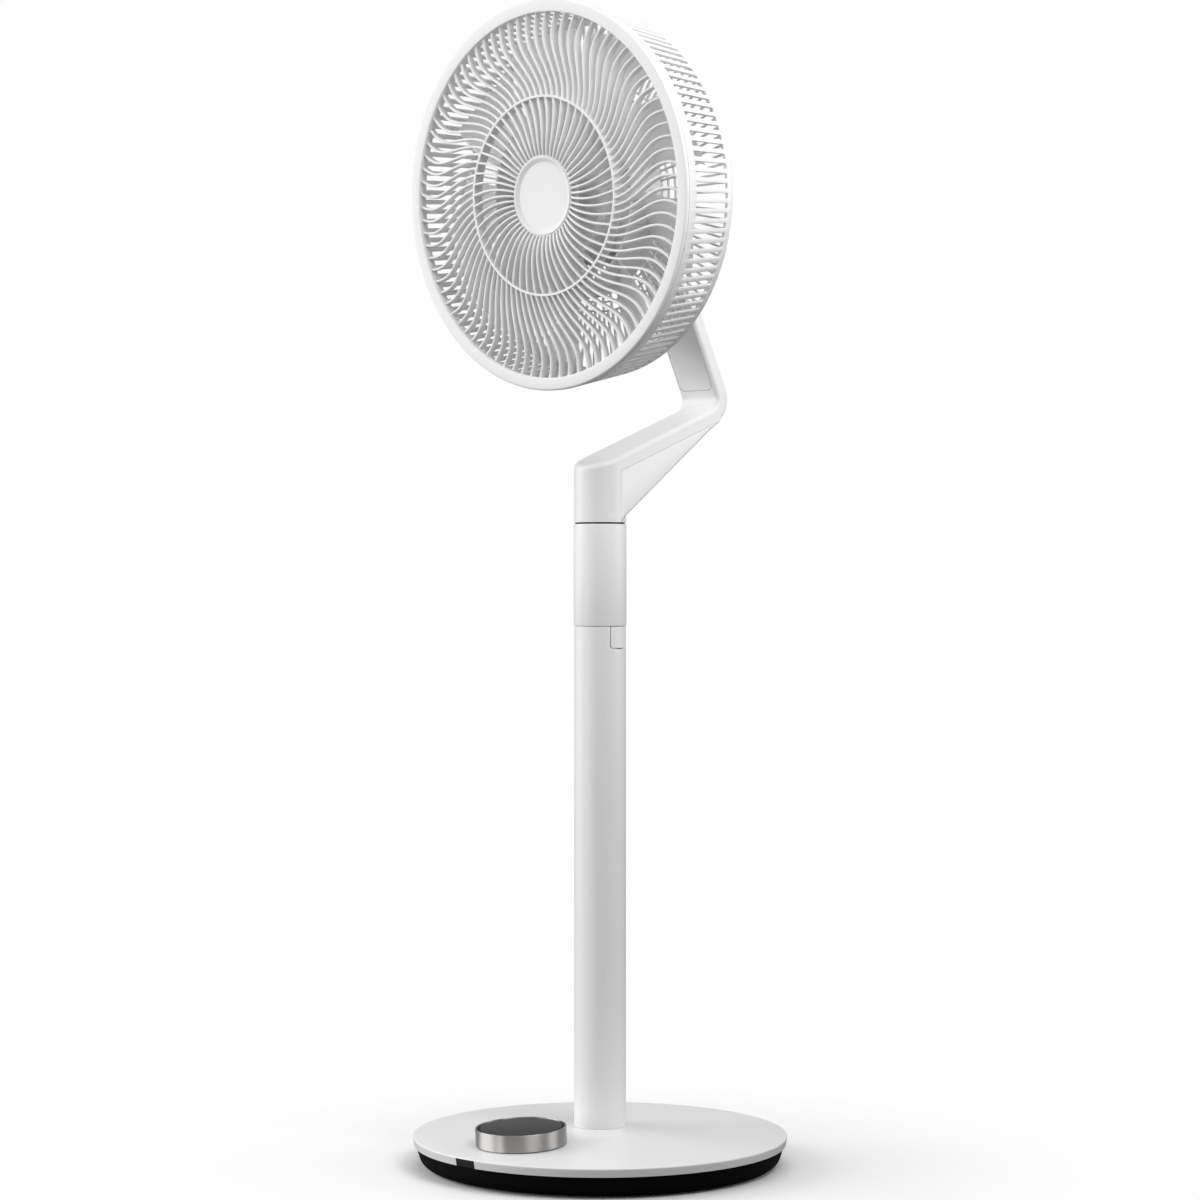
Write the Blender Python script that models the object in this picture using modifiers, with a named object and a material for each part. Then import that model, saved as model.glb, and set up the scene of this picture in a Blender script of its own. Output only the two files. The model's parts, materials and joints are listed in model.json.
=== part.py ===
"""Floor fan with a round weighted base, a swinging neck arm and a round S-ribbed head.

The origin is on the floor under the pole, +Z is up and the fan blows towards -Y. Lengths are in
metres and angles in degrees. The head is modelled in a frame of its own: its origin is on the tilt
axis, local Z is the way the air goes, local Y is up, and an empty leans that frame.
"""
import math

import bmesh
import bpy
import numpy as np
from mathutils import Matrix, Vector

# Clearances
FIT_GAP = 0.0003
MERGE = 0.00001

# Base
BASE_RADIUS = 0.170
BASE_SEGMENTS = 44
RIM_TOP = 0.028
RIM_HEIGHT = 0.0077
RIM_DRAFT = 0.0014
RIM_ROUND = 0.001
CROWN_RISE = 0.0074
COVER_WALL = 0.0025
SKIRT_INSET = 0.003
SKIRT_TAPER = 0.0065
SKIRT_KNEE_HEIGHT = 0.0065
SKIRT_FOOT_TAPER = 0.0055
TUB_WALL = 0.003
FOOT_COUNT = 5
FOOT_RADIUS = 0.009
FOOT_HEIGHT = 0.0017
FOOT_INSET = 0.020
BALLAST_SIDE_GAP = 0.010
BALLAST_THICKNESS = 0.006
WINDOW_WIDTH = 0.021
WINDOW_DEPTH = 0.007
WINDOW_LIP = 0.0009

# Power inlet in the rear of the skirt
INLET_RADIUS = 0.0047
INLET_BORE = 0.0034
INLET_LENGTH = 0.014
INLET_HEIGHT = 0.0135
INLET_BORE_DEPTH = 0.010

# Control knob in front of the pole
KNOB_DISTANCE = 0.100
KNOB_RADIUS = 0.0405
KNOB_HEIGHT = 0.0150
KNOB_LIFT = 0.0008
KNOB_WALL = 0.0036
KNOB_EDGE = 0.0008
KNOB_SEGMENTS = 32
GLASS_THICKNESS = 0.002
GLASS_INSET = 0.0009
CORE_THICKNESS = 0.0025
KNOB_SHAFT_RADIUS = 0.004
ENCODER_RADIUS = 0.010
ENCODER_HEIGHT = 0.0052
BOARD_LENGTH = 0.070
BOARD_WIDTH = 0.044
BOARD_THICKNESS = 0.0016

# Pole
POLE_RADIUS = 0.0235
POLE_WALL = 0.002
POLE_SEGMENTS = 24
POLE_TOP = 0.4885
SLEEVE_RADIUS = 0.0240
SLEEVE_TOP = 0.5820
SLEEVE_WALL = 0.0022
SLEEVE_FLOOR = 0.006
SPIGOT_LENGTH = 0.048
SPIGOT_WALL = 0.003
WIRE_HOLE_RADIUS = 0.006
SOCKET_FLANGE_RADIUS = 0.044
SOCKET_FLANGE_THICKNESS = 0.004
SOCKET_HEIGHT = 0.0175
SOCKET_WALL = 0.004

# Release button at the top of the lower pole
BUTTON_WIDTH = 0.017
BUTTON_HEIGHT = 0.0195
BUTTON_CORNER = 0.0023
BUTTON_TRAVEL = 0.0025
BUTTON_GAP = 0.0004
LATCH_WIDTH = 0.009
LATCH_THICKNESS = 0.0008
LATCH_LENGTH = 0.050

# Swing drive between the upper sleeve and the neck
MOTOR_CAN_RADIUS = 0.0185
MOTOR_CAN_HEIGHT = 0.030
PINION_TEETH = 10
RING_TEETH = 30
GEAR_MODULE = 0.001
GEAR_ADDENDUM = 0.0006
GEAR_DEDENDUM = 0.0009
PINION_TOOTH_SHARES = (0.60, 0.24)
RING_GAP_SHARES = (0.66, 0.44)
PINION_HEIGHT = 0.009
PINION_SHAFT_RADIUS = 0.002
RING_RADIUS = 0.0183
RING_HEIGHT = 0.013

# Neck and arm, side view in the plane of Y and Z
NECK_RADIUS = 0.0236
NECK_CORE_RADIUS = 0.020
NECK_SPLIT = 0.003
NECK_FRONT_TOP = 0.6327
BAR_SLOPE = 20.4
BAR_DEPTH = 0.0128
GUSSET_START_Y = 0.008
GUSSET_START_Z = 0.586
GUSSET_SLOPE = 35.6
ELBOW_OUTER_RADIUS = 0.024
ELBOW_INNER_RADIUS = 0.010
ARM_LEAN = 26.6
ARM_THICKNESS = 0.0148
NECK_EDGE_RADIUS = 0.004
ARM_COVER_START = 0.190
ARM_COVER_END = 0.040
ARM_COVER_HALF_WIDTH = 0.0200
ARM_COVER_THICKNESS = 0.0018
ARM_COVER_CORNER = 0.006

# Tilt joint
TILT_Y = 0.0522
TILT_Z = 0.8809
HEAD_LEAN = 4.05
PIN_RADIUS = 0.005
PIN_END_INSET = 0.0010
KNUCKLE_WIDTH = 0.020
KNUCKLE_RADIUS = 0.010
FORK_RADIUS = 0.0115
FORK_ROOT = 0.017
WASHER_THICKNESS = 0.0015
WASHER_RADIUS = 0.009

# Head, distances forward from the tilt axis
BEZEL_FACE = 0.1255
BEZEL_SEGMENTS = 52
BEZEL_WIDTH = 0.0113
BEZEL_STRIP = 0.0036
BEZEL_SKIRT_WALL = 0.002
WEB_DEPTH = 0.009
OUTER_RIBS = 85
INNER_RIBS = 55
RIB_WIDTH = 0.0019
MID_RING_INSET = 0.0724
MID_RING_WIDTH = 0.0018
HUB_RADIUS = 0.0363
HUB_CAP_RADIUS = 0.0350
HUB_CAP_DEPTH = 0.003
HUB_CAP_DISH = 0.002
HUB_CAP_FLAT_RADIUS = 0.030
# Each rib station is the share of the rib's span, its lean clockwise from the top, and its crown
OUTER_RIB = (
    (0.00, 11.3, 0.0014),
    (0.54, 0.8, 0.0000),
    (0.74, -1.1, -0.0010),
    (1.00, 0.0, 0.0000),
)
INNER_RIB = (
    (0.00, 5.4, 0.0008),
    (0.30, 5.9, 0.0036),
    (1.00, 0.0, 0.0014),
)

GUARD_REAR_FACE = 0.0532
GUARD_REAR_RADIUS = 0.1626
GUARD_FLARE = 0.0102
GUARD_CORNER = 0.003
GUARD_WALL = 0.0025
SIDE_SLOTS = 120
SLOTS_PER_FACET = 3
SIDE_SLOT_WIDTH = 0.0046
SIDE_SLOT_FRONT = 0.0144
SIDE_SLOT_REAR = 0.0632
REAR_OUTER_SLOTS = 36
REAR_INNER_SLOTS = 18
REAR_SLOT_WIDTH = 0.0058
REAR_EDGE = 0.0083
REAR_INNER_EDGE = 0.006
REAR_RING_WIDTH = 0.006

MOTOR_REAR = 0.015
MOTOR_FRONT_RADIUS = 0.058
MOTOR_BACK_RADIUS = 0.055
MOTOR_WALL = 0.0025
MOTOR_ROUND = 0.005
MOTOR_SEGMENTS = 24
PLATE_THICKNESS = 0.003
BOSS_RADIUS = 0.020
BOSS_LENGTH = 0.013
BEARING_RADIUS = 0.011
BEARING_WIDTH = 0.007
SHAFT_RADIUS = 0.004
SHAFT_REAR = 0.0186
STATOR_INNER = 0.0290
STATOR_REAR = 0.027
STATOR_LENGTH = 0.019
STATOR_SIDE_GAP = 0.0006
ROTOR_AIR_GAP = 0.0007
GUARD_NUT_RADIUS = 0.031
GUARD_NUT_LENGTH = 0.0065

BLADE_TIP_GAP = 0.0111
BLADE_THICKNESS = 0.0022
INNER_BLADES = 5
INNER_CHORD = 58.0
INNER_RISE = 0.028
INNER_MIDDLE = 0.086
INNER_SWEEP = 3.0
INNER_FIRST = 44.5
OUTER_BLADES = 9
OUTER_CHORD = 25.5
OUTER_RISE = 0.027
OUTER_MIDDLE = 0.087
OUTER_SWEEP = 6.0
OUTER_FIRST = 25.5
BLADE_RING_FRONT = 0.1015
BLADE_RING_REAR = 0.0690
BLADE_RING_FRONT_RADIUS = 0.0850
BLADE_RING_REAR_RADIUS = 0.0905
BLADE_RING_WALL = 0.0024
IMPELLER_RADIUS = 0.057
IMPELLER_REAR = 0.068
IMPELLER_FRONT = 0.1055
IMPELLER_WALL = 0.0024
IMPELLER_ROUND = 0.004
IMPELLER_BOSS_RADIUS = 0.009
NUT_RADIUS = 0.012
NUT_LENGTH = 0.0065
SHAFT_STICK_OUT = 0.004

# Sizes that follow from the driving ones
SKIRT_TOP_RADIUS = BASE_RADIUS - SKIRT_INSET
SKIRT_KNEE_RADIUS = SKIRT_TOP_RADIUS - SKIRT_TAPER
SKIRT_FOOT_RADIUS = SKIRT_KNEE_RADIUS - SKIRT_FOOT_TAPER
FOOT_CIRCLE = SKIRT_FOOT_RADIUS - FOOT_INSET
BALLAST_RADIUS = SKIRT_FOOT_RADIUS - TUB_WALL - BALLAST_SIDE_GAP
BEZEL_RADIUS = GUARD_REAR_RADIUS + GUARD_FLARE
BEZEL_INNER_RADIUS = BEZEL_RADIUS - BEZEL_WIDTH
MID_RING_RADIUS = BEZEL_INNER_RADIUS - MID_RING_INSET
BLADE_TIP_RADIUS = GUARD_REAR_RADIUS - GUARD_WALL - BLADE_TIP_GAP
REAR_OUTER_TO = GUARD_REAR_RADIUS - REAR_EDGE
REAR_INNER_FROM = MOTOR_FRONT_RADIUS + REAR_INNER_EDGE
REAR_RING_RADIUS = (REAR_OUTER_TO + REAR_INNER_FROM) / 2
POLE_BORE = POLE_RADIUS - POLE_WALL
SPIGOT_RADIUS = POLE_BORE - FIT_GAP
SLEEVE_BORE = SLEEVE_RADIUS - SLEEVE_WALL
POLE_SLOPE = CROWN_RISE / (BASE_RADIUS - RIM_ROUND - POLE_RADIUS)
TUB_BOTTOM = FOOT_HEIGHT + FIT_GAP
TUB_FLOOR = TUB_BOTTOM + TUB_WALL
RIM_BOTTOM = RIM_TOP - RIM_HEIGHT
BALLAST_TOP = TUB_FLOOR + FIT_GAP + BALLAST_THICKNESS
SOCKET_BOTTOM = BALLAST_TOP + FIT_GAP
NECK_BOTTOM = SLEEVE_TOP + FIT_GAP
MOTOR_FRONT = GUARD_REAR_FACE - FIT_GAP
WEB_BACK = BEZEL_FACE - WEB_DEPTH
SEAM_FRONT = BEZEL_FACE - BEZEL_STRIP - FIT_GAP
FORK_HALF_GAP = KNUCKLE_WIDTH / 2 + WASHER_THICKNESS + 2 * FIT_GAP
TILT_POINT = Vector((0, TILT_Y, TILT_Z))


def make_collection(name):
    """A collection of the scene."""
    collection = bpy.data.collections.new(name)
    bpy.context.scene.collection.children.link(collection)
    return collection


def remove_objects():
    """Start from an empty scene."""
    for item in list(bpy.data.objects):
        bpy.data.objects.remove(item, do_unlink=True)


def plastic(name, colour, roughness, metallic=0.0):
    """A Principled BSDF material."""
    material = bpy.data.materials.new(name)
    material.use_nodes = True
    shader = material.node_tree.nodes["Principled BSDF"]
    shader.inputs["Base Color"].default_value = (*colour, 1.0)
    shader.inputs["Roughness"].default_value = roughness
    shader.inputs["Metallic"].default_value = metallic
    return material


def object_from(mesh, name):
    """An object for a mesh, linked to the collection of parts."""
    item = bpy.data.objects.new(name, mesh)
    PARTS.objects.link(item)
    return item


def object_from_bmesh(builder, name):
    """An object for a finished bmesh, its faces turned outwards."""
    bmesh.ops.recalc_face_normals(builder, faces=builder.faces)
    mesh = bpy.data.meshes.new(name)
    builder.to_mesh(mesh)
    builder.free()
    return object_from(mesh, name)


def bake(item):
    """Replace an object's mesh with what its modifiers make of it."""
    depsgraph = bpy.context.evaluated_depsgraph_get()
    mesh = bpy.data.meshes.new_from_object(item.evaluated_get(depsgraph))
    item.modifiers.clear()
    item.data = mesh
    return item


def as_cutter(item):
    """Move an object to the collection of cutters."""
    PARTS.objects.unlink(item)
    CUTTERS.objects.link(item)
    item.hide_render = True
    item.display_type = "WIRE"
    return item


def combine(target, other, operation="DIFFERENCE"):
    """Cut, join or intersect a target with another object, which becomes a cutter."""
    step = target.modifiers.new(operation.title(), "BOOLEAN")
    step.operation = operation
    step.solver = "EXACT"
    step.object = as_cutter(other)
    return target


def dress(item, material, smooth=True, sharp_angle=35.0):
    """Give an object its material and its shading."""
    item.data.materials.clear()
    item.data.materials.append(material)
    if smooth:
        item.data.shade_smooth()
        item.data.set_sharp_from_angle(angle=math.radians(sharp_angle))
    return item


def turned(name, profile, segments, solid_ends=False):
    """A profile of (radius, height) turned about local Z.

    The profile runs down its outer side from the top. It closes on itself, or with solid_ends it
    stays open and its two end circles get flat faces.
    """
    mesh = bpy.data.meshes.new(name)
    points = [(radius, 0.0, height) for radius, height in profile]
    edges = [(index, index + 1) for index in range(len(points) - 1)]
    if not solid_ends:
        edges.append((len(points) - 1, 0))
    mesh.from_pydata(points, edges, [])
    item = object_from(mesh, name)
    screw = item.modifiers.new("Turn", "SCREW")
    screw.axis = "Z"
    screw.angle = math.tau
    screw.steps = segments
    screw.render_steps = segments
    screw.use_merge_vertices = True
    screw.merge_threshold = MERGE
    bake(item)
    builder = bmesh.new()
    builder.from_mesh(item.data)
    if solid_ends:
        bmesh.ops.holes_fill(builder, edges=[edge for edge in builder.edges if edge.is_boundary])
    bmesh.ops.recalc_face_normals(builder, faces=builder.faces)
    builder.to_mesh(item.data)
    builder.free()
    return item


def block(name, low, high):
    """A box between two corners, its place in its mesh."""
    builder = bmesh.new()
    size = Vector(high) - Vector(low)
    middle = (Vector(high) + Vector(low)) / 2
    bmesh.ops.create_cube(builder, size=1.0, matrix=Matrix.Translation(middle) @ Matrix.Diagonal((*size, 1)))
    return object_from_bmesh(builder, name)


def rod(name, radius, bottom, top, segments, centre=(0.0, 0.0)):
    """A cylinder about local Z between two heights."""
    builder = bmesh.new()
    place = Matrix.Translation((*centre, (bottom + top) / 2))
    bmesh.ops.create_cone(builder, cap_ends=True, segments=segments, radius1=radius, radius2=radius,
                          depth=top - bottom, matrix=place)
    return object_from_bmesh(builder, name)


def plate(name, outline, half_thickness):
    """A flat outline in local X and Y, filled and extruded both ways along Z."""
    curve = bpy.data.curves.new(name, "CURVE")
    curve.dimensions = "2D"
    curve.fill_mode = "BOTH"
    curve.extrude = half_thickness
    spline = curve.splines.new("POLY")
    spline.points.add(len(outline) - 1)
    for point, (x, y) in zip(spline.points, outline):
        point.co = (x, y, 0.0, 1.0)
    spline.use_cyclic_u = True
    drawn = bpy.data.objects.new(name, curve)
    PARTS.objects.link(drawn)
    mesh = bpy.data.meshes.new_from_object(drawn.evaluated_get(bpy.context.evaluated_depsgraph_get()))
    bpy.data.objects.remove(drawn)
    bpy.data.curves.remove(curve)
    builder = bmesh.new()
    builder.from_mesh(mesh)
    bmesh.ops.remove_doubles(builder, verts=builder.verts, dist=MERGE)
    bmesh.ops.dissolve_limit(builder, angle_limit=math.radians(0.5), verts=builder.verts, edges=builder.edges)
    bmesh.ops.recalc_face_normals(builder, faces=builder.faces)
    builder.to_mesh(mesh)
    builder.free()
    mesh.name = name
    return object_from(mesh, name)


def rounded(corners, steps=5):
    """An outline through corners (x, y, fillet radius), each fillet an arc tangent to both sides."""
    outline = []
    for index, (x, y, radius) in enumerate(corners):
        here = Vector((x, y))
        if radius == 0.0:
            outline.append(here)
            continue
        before = (Vector(corners[index - 1][:2]) - here).normalized()
        after = (Vector(corners[(index + 1) % len(corners)][:2]) - here).normalized()
        half_angle = before.angle(after) / 2
        centre = here + (before + after).normalized() * radius / math.sin(half_angle)
        start = here + before * radius / math.tan(half_angle) - centre
        end = here + after * radius / math.tan(half_angle) - centre
        turn = math.atan2(start.x * end.y - start.y * end.x, start.dot(end))
        for step in range(steps + 1):
            outline.append(centre + Matrix.Rotation(turn * step / steps, 2) @ start)
    return outline


def side_view(item):
    """Stand a plate drawn in X and Y up in the plane of Y and Z."""
    item.data.transform(Matrix(((0, 0, 1, 0), (1, 0, 0, 0), (0, 1, 0, 0), (0, 0, 0, 1))))
    return item


def carry(parent, *items):
    """Parent objects to an empty without moving their meshes in its frame."""
    for item in items:
        item.parent = parent


def empty(name, location, rotation=(0, 0, 0)):
    """An empty that carries a frame."""
    item = bpy.data.objects.new(name, None)
    item.empty_display_size = 0.03
    item.location = location
    item.rotation_euler = rotation
    PARTS.objects.link(item)
    return item


def crown_height(radius):
    """Height of the cover's conical top at a radius."""
    return RIM_TOP + POLE_SLOPE * (BASE_RADIUS - RIM_ROUND - radius)


def cover_solid(name):
    """The base cover before its openings: a conical top with a drafted rim."""
    hole = POLE_RADIUS + FIT_GAP
    rim_foot = BASE_RADIUS - RIM_DRAFT
    inside = rim_foot - COVER_WALL
    profile = [
        (hole, crown_height(hole)),
        (BASE_RADIUS - RIM_ROUND, RIM_TOP),
        (BASE_RADIUS, RIM_TOP - RIM_ROUND),
        (rim_foot, RIM_BOTTOM),
        (inside, RIM_BOTTOM),
        (inside, crown_height(inside) - COVER_WALL),
        (hole, crown_height(hole) - COVER_WALL),
    ]
    return turned(name, profile, BASE_SEGMENTS)


def window_box(name, gap):
    """The box of the window in the rim, smaller by a gap on its sides, back and top."""
    half = WINDOW_WIDTH / 2 - gap
    back = -BASE_RADIUS + WINDOW_DEPTH - gap
    return block(name, (-half, -BASE_RADIUS - MERGE * 100, RIM_BOTTOM - COVER_WALL),
                 (half, back, RIM_TOP - WINDOW_LIP - gap))


def build_base():
    """Cover, tub, window, ballast, feet, power inlet and pole socket."""
    cover = combine(cover_solid("base_cover"), window_box("window_opening", 0.0))
    shaft_hole = rod("knob_hole", KNOB_SHAFT_RADIUS + 2 * FIT_GAP, -CROWN_RISE, CROWN_RISE, 16)
    place_on_knob(shaft_hole)
    combine(cover, shaft_hole)
    dress(cover, WHITE)

    window = combine(cover_solid("sensor_window"), window_box("window_body", FIT_GAP), "INTERSECT")
    dress(window, BLACK_GLOSS)

    tub_profile = [
        (SKIRT_FOOT_RADIUS - TUB_WALL, TUB_FLOOR),
        (SKIRT_KNEE_RADIUS - TUB_WALL, SKIRT_KNEE_HEIGHT + TUB_WALL / 2),
        (SKIRT_TOP_RADIUS - TUB_WALL, RIM_BOTTOM - FIT_GAP),
        (SKIRT_TOP_RADIUS, RIM_BOTTOM - FIT_GAP),
        (SKIRT_KNEE_RADIUS, SKIRT_KNEE_HEIGHT),
        (SKIRT_FOOT_RADIUS, TUB_BOTTOM),
    ]
    tub = turned("base_tub", tub_profile, BASE_SEGMENTS, solid_ends=True)
    inlet_hole = rod("inlet_hole", INLET_RADIUS + FIT_GAP, -INLET_LENGTH, INLET_LENGTH, 16)
    point_backwards(inlet_hole, skirt_radius(INLET_HEIGHT))
    combine(tub, inlet_hole)
    dress(tub, BLACK)

    inlet = rod("dc_inlet", INLET_RADIUS, -INLET_LENGTH, 0.0, 16)
    bore = rod("inlet_bore", INLET_BORE, -INLET_BORE_DEPTH, MERGE * 100, 12)
    for item in (inlet, bore):
        point_backwards(item, skirt_radius(INLET_HEIGHT))
    dress(combine(inlet, bore), BLACK_GLOSS)

    ballast = rod("ballast_plate", BALLAST_RADIUS, TUB_FLOOR + FIT_GAP, BALLAST_TOP, 28)
    dress(ballast, STEEL)

    for index in range(FOOT_COUNT):
        angle = math.tau * (index + 0.25) / FOOT_COUNT
        centre = (FOOT_CIRCLE * math.cos(angle), FOOT_CIRCLE * math.sin(angle))
        dress(rod(f"rubber_foot_{index + 1}", FOOT_RADIUS, 0.0, FOOT_HEIGHT, 12, centre), RUBBER)

    bore_radius = POLE_RADIUS + FIT_GAP
    flange_top = SOCKET_BOTTOM + SOCKET_FLANGE_THICKNESS
    socket_profile = [
        (bore_radius, SOCKET_BOTTOM + SOCKET_HEIGHT),
        (bore_radius + SOCKET_WALL, SOCKET_BOTTOM + SOCKET_HEIGHT),
        (bore_radius + SOCKET_WALL, flange_top),
        (SOCKET_FLANGE_RADIUS, flange_top),
        (SOCKET_FLANGE_RADIUS, SOCKET_BOTTOM),
        (WIRE_HOLE_RADIUS, SOCKET_BOTTOM),
        (WIRE_HOLE_RADIUS, flange_top),
        (bore_radius, flange_top),
    ]
    dress(turned("pole_socket", socket_profile, POLE_SEGMENTS), STEEL)


def skirt_radius(height):
    """Outer radius of the skirt at a height above its knee."""
    share = (height - SKIRT_KNEE_HEIGHT) / (RIM_BOTTOM - FIT_GAP - SKIRT_KNEE_HEIGHT)
    return SKIRT_KNEE_RADIUS + share * (SKIRT_TOP_RADIUS - SKIRT_KNEE_RADIUS)


def point_backwards(item, distance):
    """Turn an object's local Z to +Y and move its origin out to a distance."""
    item.rotation_euler = (-math.pi / 2, 0, 0)
    item.location = (0, distance, INLET_HEIGHT)


def place_on_knob(item):
    """Put an object's origin on the cover under the knob, square to the sloping top."""
    item.rotation_euler = (math.atan(POLE_SLOPE), 0, 0)
    item.location = (0, -KNOB_DISTANCE, crown_height(KNOB_DISTANCE))


def build_knob():
    """Knob ring, glass and core on their axis, with the encoder and the board under the cover."""
    axis = empty("knob_axis", (0, 0, 0))
    place_on_knob(axis)
    inside = KNOB_RADIUS - KNOB_WALL
    top = KNOB_LIFT + KNOB_HEIGHT
    ring_profile = [
        (inside, top),
        (KNOB_RADIUS - KNOB_EDGE, top),
        (KNOB_RADIUS, top - KNOB_EDGE),
        (KNOB_RADIUS, KNOB_LIFT),
        (inside, KNOB_LIFT),
    ]
    ring = dress(turned("knob_ring", ring_profile, KNOB_SEGMENTS), BRUSHED)

    glass_top = top - GLASS_INSET
    glass_radius = inside - FIT_GAP
    glass = rod("knob_glass", glass_radius, glass_top - GLASS_THICKNESS, glass_top, KNOB_SEGMENTS)
    dress(glass, BLACK_GLOSS)

    core_top = glass_top - GLASS_THICKNESS - FIT_GAP
    shaft_end = -COVER_WALL - ENCODER_HEIGHT
    core_profile = [
        (glass_radius, core_top),
        (glass_radius, core_top - CORE_THICKNESS),
        (KNOB_SHAFT_RADIUS, core_top - CORE_THICKNESS),
        (KNOB_SHAFT_RADIUS, shaft_end),
    ]
    core = dress(turned("knob_core", core_profile, 20, solid_ends=True), BLACK)

    encoder_top = -COVER_WALL - FIT_GAP
    encoder_bottom = encoder_top - ENCODER_HEIGHT
    bore = KNOB_SHAFT_RADIUS + FIT_GAP
    encoder_profile = [
        (bore, encoder_top),
        (ENCODER_RADIUS, encoder_top),
        (ENCODER_RADIUS, encoder_bottom),
        (bore, encoder_bottom),
    ]
    encoder = dress(turned("knob_encoder", encoder_profile, 16), STEEL)
    board_top = encoder_bottom - FIT_GAP
    board = block("control_board", (-BOARD_LENGTH / 2, -BOARD_WIDTH / 2, board_top - BOARD_THICKNESS),
                  (BOARD_LENGTH / 2, BOARD_WIDTH / 2, board_top))
    dress(board, BOARD_GREEN, smooth=False)
    carry(axis, ring, glass, core, encoder, board)


def button_outline(grow):
    """The button's face in Y and Z: square at the seam, rounded at its lower corners."""
    half = BUTTON_WIDTH / 2 + grow
    top = POLE_TOP + (COVER_WALL if grow else 0.0)
    bottom = POLE_TOP - BUTTON_HEIGHT - grow
    return rounded([
        (-half, top, 0.0),
        (-half, bottom, BUTTON_CORNER),
        (half, bottom, BUTTON_CORNER),
        (half, top, 0.0),
    ], steps=3)


def button_slab(name, grow, half_depth):
    """The button's outline as a slab through the +X side of the pole."""
    slab = side_view(plate(name, button_outline(grow), half_depth))
    slab.data.transform(Matrix.Translation((POLE_RADIUS, 0, 0)))
    return slab


def tube_profile(outer, inner, bottom, top):
    """The closed profile of a plain tube."""
    return [(inner, top), (outer, top), (outer, bottom), (inner, bottom)]


def build_pole():
    """Lower pole with its release button, and the upper sleeve with its spigot."""
    pole_bottom = SOCKET_BOTTOM + SOCKET_FLANGE_THICKNESS + FIT_GAP
    profile = tube_profile(POLE_RADIUS, POLE_BORE, pole_bottom, POLE_TOP)
    pole = turned("lower_pole", profile, POLE_SEGMENTS)
    combine(pole, button_slab("button_opening", BUTTON_GAP, POLE_WALL * 3))
    dress(pole, WHITE)

    button = turned("release_button", profile, POLE_SEGMENTS)
    combine(button, button_slab("button_body", 0.0, POLE_WALL * 3), "INTERSECT")
    dress(button, WHITE)

    spigot_bottom = POLE_TOP - SPIGOT_LENGTH
    spigot_bore = SPIGOT_RADIUS - SPIGOT_WALL
    floor_bottom = POLE_TOP + FIT_GAP
    floor_top = floor_bottom + SLEEVE_FLOOR
    sleeve_profile = [
        (SLEEVE_BORE, SLEEVE_TOP),
        (SLEEVE_RADIUS, SLEEVE_TOP),
        (SLEEVE_RADIUS, floor_bottom),
        (SPIGOT_RADIUS, floor_bottom),
        (SPIGOT_RADIUS, spigot_bottom),
        (spigot_bore, spigot_bottom),
        (spigot_bore, floor_bottom),
        (WIRE_HOLE_RADIUS, floor_bottom),
        (WIRE_HOLE_RADIUS, floor_top),
        (SLEEVE_BORE, floor_top),
    ]
    sleeve = turned("upper_sleeve", sleeve_profile, POLE_SEGMENTS)
    notch_half = BUTTON_WIDTH / 2 + 4 * BUTTON_GAP
    notch = block("spigot_notch", (WIRE_HOLE_RADIUS, -notch_half, spigot_bottom - SPIGOT_WALL),
                  (POLE_RADIUS, notch_half, floor_bottom - FIT_GAP))
    dress(combine(sleeve, notch), WHITE)

    latch_back = POLE_BORE - BUTTON_TRAVEL - 2 * LATCH_THICKNESS - FIT_GAP
    latch_foot = spigot_bottom - LATCH_WIDTH
    foot_face = math.sqrt(POLE_BORE ** 2 - (LATCH_WIDTH / 2) ** 2) - FIT_GAP
    latch_outline = [
        (foot_face, latch_foot - LATCH_WIDTH),
        (foot_face, latch_foot),
        (latch_back + LATCH_THICKNESS, latch_foot + LATCH_WIDTH),
        (latch_back + LATCH_THICKNESS, latch_foot + LATCH_LENGTH),
        (latch_back, latch_foot + LATCH_LENGTH),
        (latch_back, latch_foot + LATCH_WIDTH),
        (foot_face - LATCH_THICKNESS, latch_foot),
        (foot_face - LATCH_THICKNESS, latch_foot - LATCH_WIDTH),
    ]
    latch = plate("latch_spring", latch_outline, LATCH_WIDTH / 2)
    latch.data.transform(Matrix.Rotation(math.pi / 2, 4, "X"))
    dress(latch, SPRING_STEEL, smooth=False)


def gear_outline(teeth, root, tip, root_share, tip_share):
    """Straight-flanked teeth round a circle, as wide as a share of the pitch at root and tip."""
    half_pitch = math.pi / teeth
    root_half = half_pitch * root_share
    tip_half = half_pitch * tip_share
    outline = []
    for index in range(teeth):
        middle = 2 * half_pitch * index
        for radius, offset in ((root, -root_half), (tip, -tip_half), (tip, tip_half), (root, root_half)):
            outline.append((radius * math.cos(middle + offset), radius * math.sin(middle + offset)))
    return outline


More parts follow.
